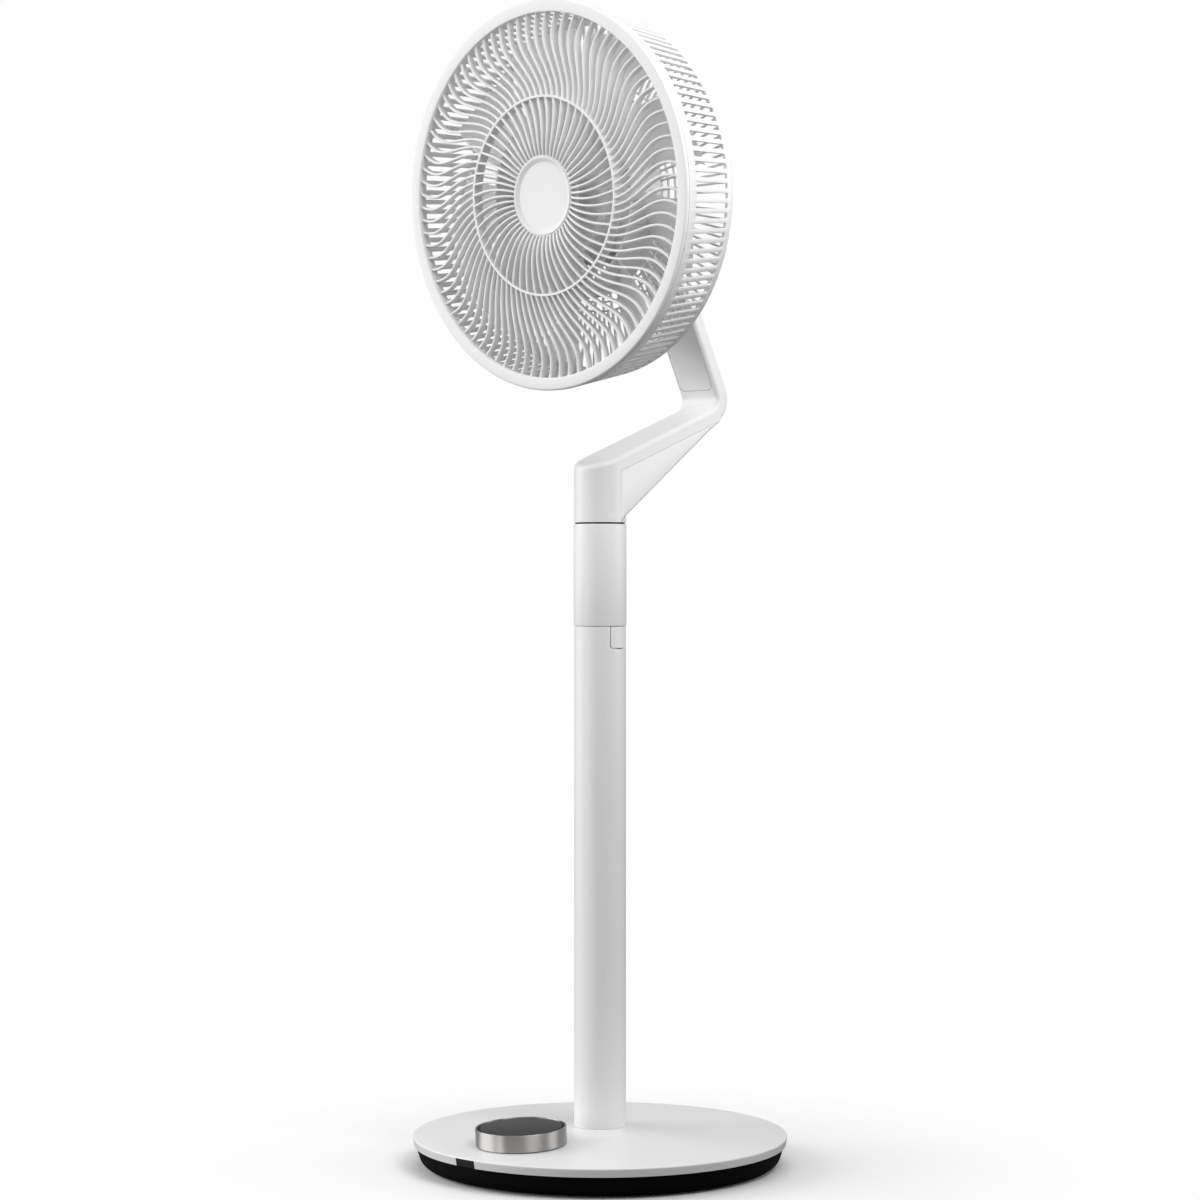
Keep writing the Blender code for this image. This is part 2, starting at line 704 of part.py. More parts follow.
def build_swing_drive():
    """Swing motor in the sleeve, its pinion, the toothed ring under the neck and its bearing."""
    floor_top = POLE_TOP + FIT_GAP + SLEEVE_FLOOR
    can_bottom = floor_top + FIT_GAP
    can_top = can_bottom + MOTOR_CAN_HEIGHT
    pitch_pinion = GEAR_MODULE * PINION_TEETH / 2
    pitch_ring = GEAR_MODULE * RING_TEETH / 2
    offset = pitch_ring - pitch_pinion
    ring_top = NECK_BOTTOM - FIT_GAP
    ring_bottom = ring_top - RING_HEIGHT
    pinion_bottom = ring_bottom + FIT_GAP
    pinion_top = pinion_bottom + PINION_HEIGHT

    can = rod("swing_motor", MOTOR_CAN_RADIUS, can_bottom, can_top, 20)
    nose = rod("motor_nose", pitch_pinion, can_bottom + MOTOR_CAN_HEIGHT / 2, pinion_bottom - FIT_GAP, 16,
               (0.0, -offset))
    combine(can, nose, "UNION")
    socket = rod("motor_socket", PINION_SHAFT_RADIUS + FIT_GAP, can_top - PINION_HEIGHT / 2,
                 pinion_bottom, 12, (0.0, -offset))
    dress(combine(can, socket), STEEL)

    pinion_axis = empty("pinion_axis", (0, -offset, 0))
    teeth = gear_outline(PINION_TEETH, pitch_pinion - GEAR_DEDENDUM, pitch_pinion + GEAR_ADDENDUM,
                         *PINION_TOOTH_SHARES)
    pinion = plate("swing_pinion", teeth, PINION_HEIGHT / 2)
    pinion.data.transform(Matrix.Translation((0, 0, (pinion_bottom + pinion_top) / 2))
                          @ Matrix.Rotation(-math.pi / 2, 4, "Z"))
    shaft = rod("pinion_shaft", PINION_SHAFT_RADIUS, can_top, pinion_bottom + PINION_HEIGHT / 2, 12)
    carry(pinion_axis, pinion, shaft)
    dress(combine(pinion, shaft, "UNION"), NYLON, smooth=False)

    ring = rod("swing_ring_gear", RING_RADIUS, ring_bottom, ring_top, POLE_SEGMENTS)
    gap_teeth = gear_outline(RING_TEETH, pitch_ring - GEAR_ADDENDUM, pitch_ring + GEAR_DEDENDUM,
                             *RING_GAP_SHARES)
    hollow = plate("ring_hollow", gap_teeth, RING_HEIGHT)
    hollow.data.transform(Matrix.Translation((0, 0, (ring_bottom + ring_top) / 2))
                          @ Matrix.Rotation(-math.pi / 2, 4, "Z"))
    dress(combine(ring, hollow), NYLON, smooth=False)

    bearing_profile = tube_profile(SLEEVE_BORE - FIT_GAP, RING_RADIUS + FIT_GAP, ring_bottom,
                                   SLEEVE_TOP - 2 * FIT_GAP)
    dress(turned("swing_bearing", bearing_profile, POLE_SEGMENTS), BRONZE)


def arm_frame():
    """Unit vectors of the upper arm in Y and Z: down along it, and out of its front face."""
    lean = math.radians(ARM_LEAN)
    along = Vector((math.sin(lean), -math.cos(lean)))
    outward = Vector((-math.cos(lean), -math.sin(lean)))
    return along, outward


def meet(point_a, direction_a, point_b, direction_b):
    """The point where two lines in the plane meet."""
    across = direction_a.x * direction_b.y - direction_a.y * direction_b.x
    apart = point_b - point_a
    reach = (apart.x * direction_b.y - apart.y * direction_b.x) / across
    return point_a + direction_a * reach


def slope_vector(degrees):
    """A unit vector rising backwards at an angle."""
    return Vector((math.cos(math.radians(degrees)), math.sin(math.radians(degrees))))


def neck_lines():
    """The neck's corners in Y and Z, where its straight edges meet."""
    along, outward = arm_frame()
    pivot = Vector((TILT_Y, TILT_Z))
    front_line = pivot + outward * ARM_THICKNESS / 2
    back_line = pivot - outward * ARM_THICKNESS / 2
    bar = slope_vector(BAR_SLOPE)
    top_start = Vector((-NECK_RADIUS, NECK_FRONT_TOP))
    seam_start = top_start + Vector((bar.y, -bar.x)) * BAR_DEPTH
    gusset_start = Vector((GUSSET_START_Y, GUSSET_START_Z))
    gusset = slope_vector(GUSSET_SLOPE)
    split = Vector((NECK_SPLIT, 0.0))
    upright = Vector((0.0, 1.0))
    return {
        "top_front": top_start,
        "inner_corner": meet(top_start, bar, front_line, along),
        "outer_corner": meet(gusset_start, gusset, back_line, along),
        "seam_front": meet(seam_start, bar, split, upright),
        "seam_rear": meet(seam_start, bar, gusset_start, gusset),
        "gusset_front": meet(gusset_start, gusset, split, upright),
    }


def fork_arc(steps=8):
    """The round end of the arm about the tilt axis, from its back edge over to its front edge."""
    along, outward = arm_frame()
    half = ARM_THICKNESS / 2
    reach = math.sqrt(FORK_RADIUS ** 2 - half ** 2)
    pivot = Vector((TILT_Y, TILT_Z))
    start = along * reach - outward * half
    end = along * reach + outward * half
    sweep = math.tau - start.angle(end)
    turn = math.copysign(sweep, -(start.x * end.y - start.y * end.x))
    return [pivot + Matrix.Rotation(turn * step / steps, 2) @ start for step in range(steps + 1)]


def plan_view_block(name, bottom, top):
    """The neck's outline from above: a round front and flat sides running back."""
    side = NECK_RADIUS
    outline = [(side, TILT_Y + 2 * ARM_COVER_START)]
    outline += [(side * math.cos(angle), side * math.sin(angle)) for angle in np.linspace(0, -math.pi, 13)]
    outline.append((-side, TILT_Y + 2 * ARM_COVER_START))
    slab = plate(name, outline, (top - bottom) / 2)
    slab.data.transform(Matrix.Translation((0, 0, (top + bottom) / 2)))
    return slab


def arm_point(distance, out):
    """A point in Y and Z at a distance down the arm from the tilt axis and outwards from it."""
    along, outward = arm_frame()
    return Vector((TILT_Y, TILT_Z)) + along * distance + outward * out


def arm_panel(name, start, end, half_width, low, high, corner):
    """A rounded panel lying on the arm's front face between two depths below that face."""
    middle = (start + end) / 2
    half_length = (start - end) / 2
    outline = rounded([
        (-half_width, -half_length, corner),
        (half_width, -half_length, corner),
        (half_width, half_length, corner),
        (-half_width, half_length, corner),
    ], steps=3)
    panel = plate(name, outline, (high - low) / 2)
    centre = arm_point(middle, ARM_THICKNESS / 2 - (low + high) / 2)
    turn = Matrix.Rotation(math.radians(90.0 + ARM_LEAN), 4, "X")
    panel.data.transform(Matrix.Translation((0, centre.x, centre.y)) @ turn)
    return panel


def build_neck():
    """Neck arm, gusset cover, arm cover, tilt pin and washers."""
    lines = neck_lines()
    arc = fork_arc()
    outline = rounded([
        (-NECK_RADIUS, NECK_BOTTOM, 0.0),
        (NECK_SPLIT, NECK_BOTTOM, 0.0),
        (*lines["seam_front"], 0.0),
        (*lines["seam_rear"], 0.0),
    ])
    elbow = rounded([
        (*lines["seam_rear"], 0.0),
        (*lines["outer_corner"], ELBOW_OUTER_RADIUS),
        (*arc[0], 0.0),
    ], steps=6)[1:-1]
    inner = rounded([
        (*arc[-1], 0.0),
        (*lines["inner_corner"], ELBOW_INNER_RADIUS),
        (*lines["top_front"], NECK_EDGE_RADIUS),
        (-NECK_RADIUS, NECK_BOTTOM, 0.0),
    ], steps=4)[1:-1]
    side = outline[:-1] + elbow + arc + inner
    arm = side_view(plate("neck_arm", side, NECK_RADIUS + MERGE))
    top = TILT_Z + 4 * FORK_RADIUS
    combine(arm, plan_view_block("neck_plan", NECK_BOTTOM - FIT_GAP, top), "INTERSECT")
    core_top = lines["seam_front"].y + BAR_DEPTH / 2
    combine(arm, rod("neck_core", NECK_CORE_RADIUS, NECK_BOTTOM, core_top, 24), "UNION")
    fork_gap = fork_gap_block()
    combine(arm, fork_gap)
    combine(arm, cross_rod("fork_bore", PIN_RADIUS + FIT_GAP, NECK_RADIUS * 2))
    pocket = arm_panel("arm_cover_pocket", ARM_COVER_START + FIT_GAP, ARM_COVER_END - FIT_GAP,
                       ARM_COVER_HALF_WIDTH + FIT_GAP, -ARM_COVER_THICKNESS, ARM_COVER_THICKNESS + FIT_GAP,
                       ARM_COVER_CORNER)
    combine(arm, pocket)
    dress(arm, WHITE)

    cover = arm_panel("arm_cover", ARM_COVER_START, ARM_COVER_END, ARM_COVER_HALF_WIDTH, 0.0,
                      ARM_COVER_THICKNESS, ARM_COVER_CORNER)
    dress(cover, WHITE)

    build_gusset(lines)
    pin = cross_rod("tilt_pin", PIN_RADIUS, NECK_RADIUS - PIN_END_INSET)
    dress(pin, STEEL)
    for name, side_sign in (("tilt_washer_left", -1), ("tilt_washer_right", 1)):
        inner_face = KNUCKLE_WIDTH / 2 + FIT_GAP
        washer = turned(name, tube_profile(WASHER_RADIUS, PIN_RADIUS + FIT_GAP, inner_face,
                                           inner_face + WASHER_THICKNESS), 12)
        washer.data.transform(Matrix.Rotation(side_sign * math.pi / 2, 4, "Y"))
        washer.data.transform(Matrix.Translation(TILT_POINT))
        dress(washer, NYLON)


def cross_rod(name, radius, half_length):
    """A cylinder along X on the tilt axis."""
    item = rod(name, radius, -half_length, half_length, 20)
    item.data.transform(Matrix.Translation(TILT_POINT) @ Matrix.Rotation(math.pi / 2, 4, "Y"))
    return item


def fork_gap_block():
    """The gap between the fork's cheeks, as deep as the fork's root."""
    reach = 2 * FORK_RADIUS
    gap = block("fork_gap", (-FORK_HALF_GAP, -reach, -FORK_ROOT), (FORK_HALF_GAP, reach, reach))
    turn = Matrix.Rotation(math.radians(ARM_LEAN), 4, "X")
    gap.data.transform(Matrix.Translation(TILT_POINT) @ turn)
    return gap


def build_gusset(lines):
    """The cover below the bar: flat-sided under it, and round where it meets the sleeve."""
    front = NECK_SPLIT + FIT_GAP
    seam_drop = FIT_GAP / math.cos(math.radians(BAR_SLOPE))
    rear = lines["seam_rear"] - slope_vector(BAR_SLOPE) * NECK_EDGE_RADIUS
    rear_low = meet(Vector((rear.x, 0.0)), Vector((0.0, 1.0)), lines["gusset_front"], slope_vector(GUSSET_SLOPE))
    slope = math.tan(math.radians(BAR_SLOPE))
    outline = [
        (front, lines["gusset_front"].y),
        (rear_low.x, rear_low.y),
        (rear.x, rear.y - seam_drop),
        (front, lines["seam_front"].y + (front - NECK_SPLIT) * slope - seam_drop),
    ]
    gusset = side_view(plate("gusset_cover", outline, NECK_RADIUS))
    foot = rod("gusset_foot", NECK_RADIUS, NECK_BOTTOM, lines["seam_front"].y - BAR_DEPTH, 24)
    front_half = block("gusset_front_half", (-2 * NECK_RADIUS, -2 * NECK_RADIUS, NECK_BOTTOM - NECK_RADIUS),
                       (2 * NECK_RADIUS, front, lines["seam_front"].y + BAR_DEPTH))
    core = rod("gusset_core", NECK_CORE_RADIUS + FIT_GAP, NECK_BOTTOM - FIT_GAP,
               lines["seam_front"].y + BAR_DEPTH * 2, 24)
    combine(gusset, foot, "UNION")
    combine(gusset, front_half)
    combine(gusset, core)
    dress(gusset, WHITE)


def station_radii(stations, start, end):
    """The radii of a rib's stations between two rings."""
    return [start + share * (end - start) for share, _, _ in stations]


def slot_cutters(name, count, stations, start, end):
    """S-shaped prisms between the ribs: each runs from one rib's flank to the next one's.

    At a radius r the rib's middle leans by its station's angle. A flank lies half the rib's width
    from it, measured along the circle and widened where the rib crosses the circle at a slant.
    """
    radii = np.array(station_radii(stations, start, end))
    lean = np.radians([station[1] for station in stations])
    slant = radii * np.gradient(lean, radii)
    half_rib = RIB_WIDTH / 2 * np.sqrt(1.0 + slant ** 2) / radii
    pitch = math.tau / count
    builder = bmesh.new()
    for index in range(count):
        first_side = lean + pitch * index + half_rib
        last_side = lean + pitch * (index + 1) - half_rib
        levels = []
        for height in (WEB_BACK - WEB_DEPTH, BEZEL_FACE + WEB_DEPTH):
            rows = []
            for radius, first, last in zip(radii, first_side, last_side):
                rows.append([builder.verts.new((radius * math.sin(angle), radius * math.cos(angle), height))
                             for angle in (first, last)])
            levels.append(rows)
        back, front = levels
        for row in range(len(radii) - 1):
            for level in levels:
                builder.faces.new((level[row][0], level[row][1], level[row + 1][1], level[row + 1][0]))
            for side in (0, 1):
                builder.faces.new((back[row][side], back[row + 1][side], front[row + 1][side],
                                   front[row][side]))
        for row in (0, len(radii) - 1):
            builder.faces.new((back[row][0], back[row][1], front[row][1], front[row][0]))
    return object_from_bmesh(builder, name)


def web_crown(radius, rings):
    """How far the ribs' front stands forward of the bezel at a radius."""
    inner_start, inner_end, outer_start, outer_end = rings
    radii = station_radii(INNER_RIB, inner_start, inner_end) + station_radii(OUTER_RIB, outer_start, outer_end)
    crowns = [station[2] for station in INNER_RIB + OUTER_RIB]
    return np.interp(radius, radii, crowns)


def build_front_grille():
    """Bezel, S ribs, mid ring and hub as one moulding: a stepped disc, slotted and then crowned."""
    rings = (HUB_RADIUS, MID_RING_RADIUS - MID_RING_WIDTH, MID_RING_RADIUS, BEZEL_INNER_RADIUS)
    skirt = BEZEL_INNER_RADIUS + BEZEL_SKIRT_WALL
    disc_profile = [
        (BEZEL_RADIUS, BEZEL_FACE),
        (BEZEL_RADIUS, BEZEL_FACE - BEZEL_STRIP),
        (skirt, BEZEL_FACE - BEZEL_STRIP),
        (skirt, WEB_BACK),
    ]
    grille = turned("front_grille", disc_profile, BEZEL_SEGMENTS, solid_ends=True)
    combine(grille, slot_cutters("inner_slots", INNER_RIBS, INNER_RIB, rings[0], rings[1]))
    combine(grille, slot_cutters("outer_slots", OUTER_RIBS, OUTER_RIB, rings[2], rings[3]))
    recess = rod("hub_recess", HUB_CAP_RADIUS + FIT_GAP, BEZEL_FACE - HUB_CAP_DEPTH - FIT_GAP,
                 BEZEL_FACE + HUB_CAP_DEPTH, 28)
    combine(grille, recess)
    bake(grille)
    builder = bmesh.new()
    builder.from_mesh(grille.data)
    bmesh.ops.triangulate(builder, faces=builder.faces)
    for vertex in builder.verts:
        vertex.co.z += web_crown(math.hypot(vertex.co.x, vertex.co.y), rings)
    builder.to_mesh(grille.data)
    builder.free()
    dress(grille, WHITE, sharp_angle=30)

    hub_lift = INNER_RIB[0][2]
    cap_bottom = BEZEL_FACE - HUB_CAP_DEPTH + hub_lift
    cap_top = BEZEL_FACE + hub_lift
    cap_profile = [
        (HUB_CAP_FLAT_RADIUS, cap_top - HUB_CAP_DISH),
        (HUB_CAP_RADIUS - BEZEL_STRIP / 4, cap_top),
        (HUB_CAP_RADIUS, cap_top),
        (HUB_CAP_RADIUS, cap_bottom),
    ]
    cap = dress(turned("hub_cap", cap_profile, 28, solid_ends=True), WHITE)
    return [grille, cap]


def radial_blocks(name, count, width, near, far, low, high, turn=0.0):
    """Boxes round the axis, each lying along a radius."""
    builder = bmesh.new()
    size = Matrix.Diagonal((width, far - near, high - low, 1))
    for index in range(count):
        spin = Matrix.Rotation(-(index + turn) * math.tau / count, 4, "Z")
        place = spin @ Matrix.Translation((0, (near + far) / 2, (low + high) / 2)) @ size
        bmesh.ops.create_cube(builder, size=1.0, matrix=place)
    return object_from_bmesh(builder, name)


def build_rear_guard():
    """Tapered drum with two slots to a facet, and a rear face with two rings of radial slots."""
    floor_front = GUARD_REAR_FACE + GUARD_WALL
    corner_front = GUARD_REAR_FACE + GUARD_CORNER
    profile = [
        (GUARD_REAR_RADIUS - GUARD_CORNER - GUARD_WALL / 2, floor_front),
        (GUARD_REAR_RADIUS - GUARD_WALL, corner_front + GUARD_WALL / 2),
        (BEZEL_RADIUS - GUARD_WALL, SEAM_FRONT),
        (BEZEL_RADIUS, SEAM_FRONT),
        (GUARD_REAR_RADIUS, corner_front),
        (GUARD_REAR_RADIUS - GUARD_CORNER, GUARD_REAR_FACE),
    ]
    facets = SIDE_SLOTS // SLOTS_PER_FACET
    guard = turned("rear_guard", profile, facets, solid_ends=True)
    side = radial_blocks("side_slots", SIDE_SLOTS, SIDE_SLOT_WIDTH, GUARD_REAR_RADIUS * 0.92,
                         BEZEL_RADIUS * 1.04, BEZEL_FACE - SIDE_SLOT_REAR, BEZEL_FACE - SIDE_SLOT_FRONT, 0.5)
    combine(guard, side)
    for name, count, near, far in (
        ("rear_outer_slots", REAR_OUTER_SLOTS, REAR_RING_RADIUS + REAR_RING_WIDTH / 2, REAR_OUTER_TO),
        ("rear_inner_slots", REAR_INNER_SLOTS, REAR_INNER_FROM, REAR_RING_RADIUS - REAR_RING_WIDTH / 2),
    ):
        combine(guard, radial_blocks(name, count, REAR_SLOT_WIDTH, near, far,
                                     GUARD_REAR_FACE - GUARD_WALL, floor_front + GUARD_WALL))
    combine(guard, rod("guard_hole", BOSS_RADIUS + FIT_GAP, GUARD_REAR_FACE - GUARD_WALL,
                       floor_front + GUARD_WALL, 24))
    return [dress(guard, WHITE)]


def housing_bore(forward):
    """Inner radius of the tapered motor housing at a distance forward of the tilt axis."""
    start = MOTOR_REAR + MOTOR_ROUND
    share = (forward - start) / (MOTOR_FRONT - start)
    return MOTOR_BACK_RADIUS + share * (MOTOR_FRONT_RADIUS - MOTOR_BACK_RADIUS) - MOTOR_WALL


def build_motor():
    """Housing with the tilt knuckle, front plate, stator, rotor, shaft, bearings and guard nut."""
    profile = [
        (MOTOR_BACK_RADIUS - MOTOR_ROUND - MOTOR_WALL, MOTOR_REAR + MOTOR_WALL),
        (housing_bore(MOTOR_REAR + MOTOR_ROUND), MOTOR_REAR + MOTOR_ROUND),
        (housing_bore(MOTOR_FRONT), MOTOR_FRONT),
        (MOTOR_FRONT_RADIUS, MOTOR_FRONT),
        (MOTOR_BACK_RADIUS, MOTOR_REAR + MOTOR_ROUND),
        (MOTOR_BACK_RADIUS - MOTOR_ROUND, MOTOR_REAR),
    ]
    housing = turned("motor_housing", profile, MOTOR_SEGMENTS, solid_ends=True)
    lug_outline = [(KNUCKLE_RADIUS * math.sin(angle), -KNUCKLE_RADIUS * math.cos(angle))
                   for angle in np.linspace(math.pi / 2, -math.pi / 2, 9)]
    lug_front = MOTOR_REAR + MOTOR_WALL / 2
    lug_outline += [(-KNUCKLE_RADIUS, lug_front), (KNUCKLE_RADIUS, lug_front)]
    lug = plate("tilt_knuckle", lug_outline, KNUCKLE_WIDTH / 2)
    lug.data.transform(Matrix(((0, 0, -1, 0), (1, 0, 0, 0), (0, 1, 0, 0), (0, 0, 0, 1))))
    lug.data.flip_normals()
    combine(housing, lug, "UNION")
    bore = rod("knuckle_bore", PIN_RADIUS + FIT_GAP, -KNUCKLE_WIDTH, KNUCKLE_WIDTH, 20)
    bore.data.transform(Matrix.Rotation(math.pi / 2, 4, "Y"))
    combine(housing, bore)
    dress(housing, WHITE)

    boss_front = MOTOR_FRONT + BOSS_LENGTH
    shaft_bore = SHAFT_RADIUS + 2 * FIT_GAP
    seat = boss_front - BEARING_WIDTH - 2 * FIT_GAP
    plate_radius = housing_bore(MOTOR_FRONT - PLATE_THICKNESS) - FIT_GAP
    plate_profile = [
        (BEARING_RADIUS + FIT_GAP, boss_front),
        (BOSS_RADIUS, boss_front),
        (BOSS_RADIUS, MOTOR_FRONT),
        (plate_radius, MOTOR_FRONT),
        (plate_radius, MOTOR_FRONT - PLATE_THICKNESS),
        (shaft_bore, MOTOR_FRONT - PLATE_THICKNESS),
        (shaft_bore, seat),
        (BEARING_RADIUS + FIT_GAP, seat),
    ]
    front_plate = dress(turned("motor_plate", plate_profile, MOTOR_SEGMENTS), STEEL)

    bearings = []
    rear_floor = MOTOR_REAR + MOTOR_WALL + FIT_GAP
    for name, low in (("motor_bearing_front", seat + FIT_GAP), ("motor_bearing_rear", rear_floor)):
        ring = tube_profile(BEARING_RADIUS, SHAFT_RADIUS + FIT_GAP, low, low + BEARING_WIDTH)
        bearings.append(dress(turned(name, ring, 12), STEEL))

    stator_outer = housing_bore(STATOR_REAR) - STATOR_SIDE_GAP
    stator_profile = tube_profile(stator_outer, STATOR_INNER, STATOR_REAR, STATOR_REAR + STATOR_LENGTH)
    stator = dress(turned("motor_stator", stator_profile, MOTOR_SEGMENTS), STEEL)
    rotor_profile = tube_profile(STATOR_INNER - ROTOR_AIR_GAP, SHAFT_RADIUS + FIT_GAP, STATOR_REAR,
                                 STATOR_REAR + STATOR_LENGTH)
    rotor = dress(turned("motor_rotor", rotor_profile, 20), STEEL)
    shaft = rod("motor_shaft", SHAFT_RADIUS, SHAFT_REAR, IMPELLER_FRONT + SHAFT_STICK_OUT, 16)
    dress(shaft, STEEL)

    nut_rear = GUARD_REAR_FACE + GUARD_WALL + FIT_GAP
    nut_profile = tube_profile(GUARD_NUT_RADIUS, BOSS_RADIUS + FIT_GAP, nut_rear, nut_rear + GUARD_NUT_LENGTH)
    guard_nut = dress(turned("guard_nut", nut_profile, 20), WHITE)
    return [housing, front_plate, stator, rotor, shaft, guard_nut, *bearings]


def blade_ring_radius(height):
    """Middle of the blade ring's wall, which widens evenly towards the rear."""
    share = (BLADE_RING_FRONT - height) / (BLADE_RING_FRONT - BLADE_RING_REAR)
    return BLADE_RING_FRONT_RADIUS + share * (BLADE_RING_REAR_RADIUS - BLADE_RING_FRONT_RADIUS)


def blade_surface(name, angle_middle, chord, sweep, middle, rise, outer):
    """One blade of the inner or the outer ring.

    Along the span the middle line sweeps round the axis. Across the chord the surface turns by the
    chord angle and falls back along the axis, with a shallow arch between its edges. An outer
    blade runs from the blade ring to the tip, and an inner one from the hub to the blade ring.
    """
    share, across = np.meshgrid(np.linspace(0.0, 1.0, 3), np.linspace(-0.5, 0.5, 4), indexing="ij")
    height = middle - rise * across - BLADE_THICKNESS * 1.5 * (1.0 - 4.0 * across ** 2)
    ring = blade_ring_radius(height)
    near = ring if outer else np.full_like(ring, IMPELLER_RADIUS - IMPELLER_WALL / 2)
    far = np.full_like(ring, BLADE_TIP_RADIUS) if outer else ring
    radius = near + share * (far - near)
    angle = np.radians(angle_middle + sweep * share ** 2 + chord * across)
    points = np.stack((radius * np.sin(angle), radius * np.cos(angle), height), axis=-1).reshape(-1, 3)
    faces = [(row * 4 + column, (row + 1) * 4 + column, (row + 1) * 4 + column + 1, row * 4 + column + 1)
             for row in range(2) for column in range(3)]
    mesh = bpy.data.meshes.new(name)
    mesh.from_pydata([tuple(point) for point in points], [], faces)
    item = object_from(mesh, name)
    wall = item.modifiers.new("Thickness", "SOLIDIFY")
    wall.thickness = BLADE_THICKNESS
    wall.offset = 0.0
    return bake(item)


def blade_set(name, count, first, *shape):
    """Blades of one ring, spaced evenly, as one object."""
    blades = bmesh.new()
    for index in range(count):
        blade = blade_surface(f"{name}_{index + 1}", first + index * 360.0 / count, *shape)
        blades.from_mesh(blade.data)
        bpy.data.objects.remove(blade)
    return object_from_bmesh(blades, name)


def build_impeller():
    """Hub cup with a boss on the shaft, inner and outer blades with a ring between, and the nut."""
    bore = SHAFT_RADIUS + FIT_GAP
    boss_rear = MOTOR_FRONT + BOSS_LENGTH + 2 * FIT_GAP
    inner = IMPELLER_RADIUS - IMPELLER_WALL
    profile = [
        (bore, IMPELLER_FRONT),
        (IMPELLER_RADIUS - IMPELLER_ROUND, IMPELLER_FRONT),
        (IMPELLER_RADIUS, IMPELLER_FRONT - IMPELLER_ROUND),
        (IMPELLER_RADIUS, IMPELLER_REAR),
        (inner, IMPELLER_REAR),
        (inner, IMPELLER_FRONT - IMPELLER_WALL - IMPELLER_ROUND / 2),
        (IMPELLER_BOSS_RADIUS, IMPELLER_FRONT - IMPELLER_WALL),
        (IMPELLER_BOSS_RADIUS, boss_rear),
        (bore, boss_rear),
    ]
    impeller = turned("impeller", profile, 24)
    half_wall = BLADE_RING_WALL / 2
    ring = turned("blade_ring", [
        (BLADE_RING_FRONT_RADIUS + half_wall, BLADE_RING_FRONT),
        (BLADE_RING_REAR_RADIUS + half_wall, BLADE_RING_REAR),
        (BLADE_RING_REAR_RADIUS - half_wall, BLADE_RING_REAR),
        (BLADE_RING_FRONT_RADIUS - half_wall, BLADE_RING_FRONT),
    ], 36)
    inner_blades = blade_set("inner_blades", INNER_BLADES, INNER_FIRST, INNER_CHORD, INNER_SWEEP, INNER_MIDDLE,
                             INNER_RISE, False)
    outer_blades = blade_set("outer_blades", OUTER_BLADES, OUTER_FIRST, OUTER_CHORD, OUTER_SWEEP, OUTER_MIDDLE,
                             OUTER_RISE, True)
    combine(ring, inner_blades, "UNION")
    combine(ring, outer_blades, "UNION")
    combine(impeller, ring, "UNION")
    dress(impeller, WHITE)

    nut_rear = IMPELLER_FRONT + FIT_GAP
    nut_profile = tube_profile(NUT_RADIUS, bore, nut_rear, nut_rear + NUT_LENGTH)
    nut = dress(turned("impeller_nut", nut_profile, 16), WHITE)
    return [impeller, nut]


def build_head():
    """Everything on the tilt axis, modelled upright in the head's frame and leaned by its empty."""
    before = set(bpy.data.objects)
    build_front_grille()
    build_rear_guard()
    build_motor()
    build_impeller()
    frame = empty("head_frame", TILT_POINT, (math.radians(90.0 + HEAD_LEAN), 0, 0))
    made = [item for item in bpy.data.objects if item not in before and item is not frame]
    carry(frame, *made)


remove_objects()
PARTS = make_collection("floor_fan")
CUTTERS = make_collection("floor_fan_cutters")
WHITE = plastic("white_plastic", (0.80, 0.80, 0.80), 0.42)
BLACK = plastic("black_plastic", (0.012, 0.012, 0.012), 0.45)
BLACK_GLOSS = plastic("dark_glass", (0.01, 0.01, 0.011), 0.08)
BRUSHED = plastic("brushed_steel", (0.55, 0.55, 0.54), 0.28, 1.0)
STEEL = plastic("plain_steel", (0.38, 0.38, 0.38), 0.4, 1.0)
SPRING_STEEL = plastic("spring_steel", (0.5, 0.5, 0.5), 0.3, 1.0)
BRONZE = plastic("bearing_bronze", (0.45, 0.28, 0.12), 0.4, 1.0)
NYLON = plastic("natural_nylon", (0.75, 0.73, 0.66), 0.5)
RUBBER = plastic("black_rubber", (0.015, 0.015, 0.015), 0.85)
BOARD_GREEN = plastic("circuit_board", (0.02, 0.14, 0.05), 0.5)

build_base()
build_knob()
build_pole()
build_swing_drive()
build_neck()
build_head()
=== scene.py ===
"""Looks of the floor fan: finishes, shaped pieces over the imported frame, floor, light and camera.

Lengths are in metres. The head's pieces are worked out in the head's own frame, whose Z is the way
the air goes and whose origin lies on the tilt axis, and are then put in their place.
"""

import json
import logging
import math
from collections.abc import Callable
from dataclasses import dataclass, field
from enum import Enum

import bmesh
import bpy
import numpy as np
from mathutils import Matrix, Vector


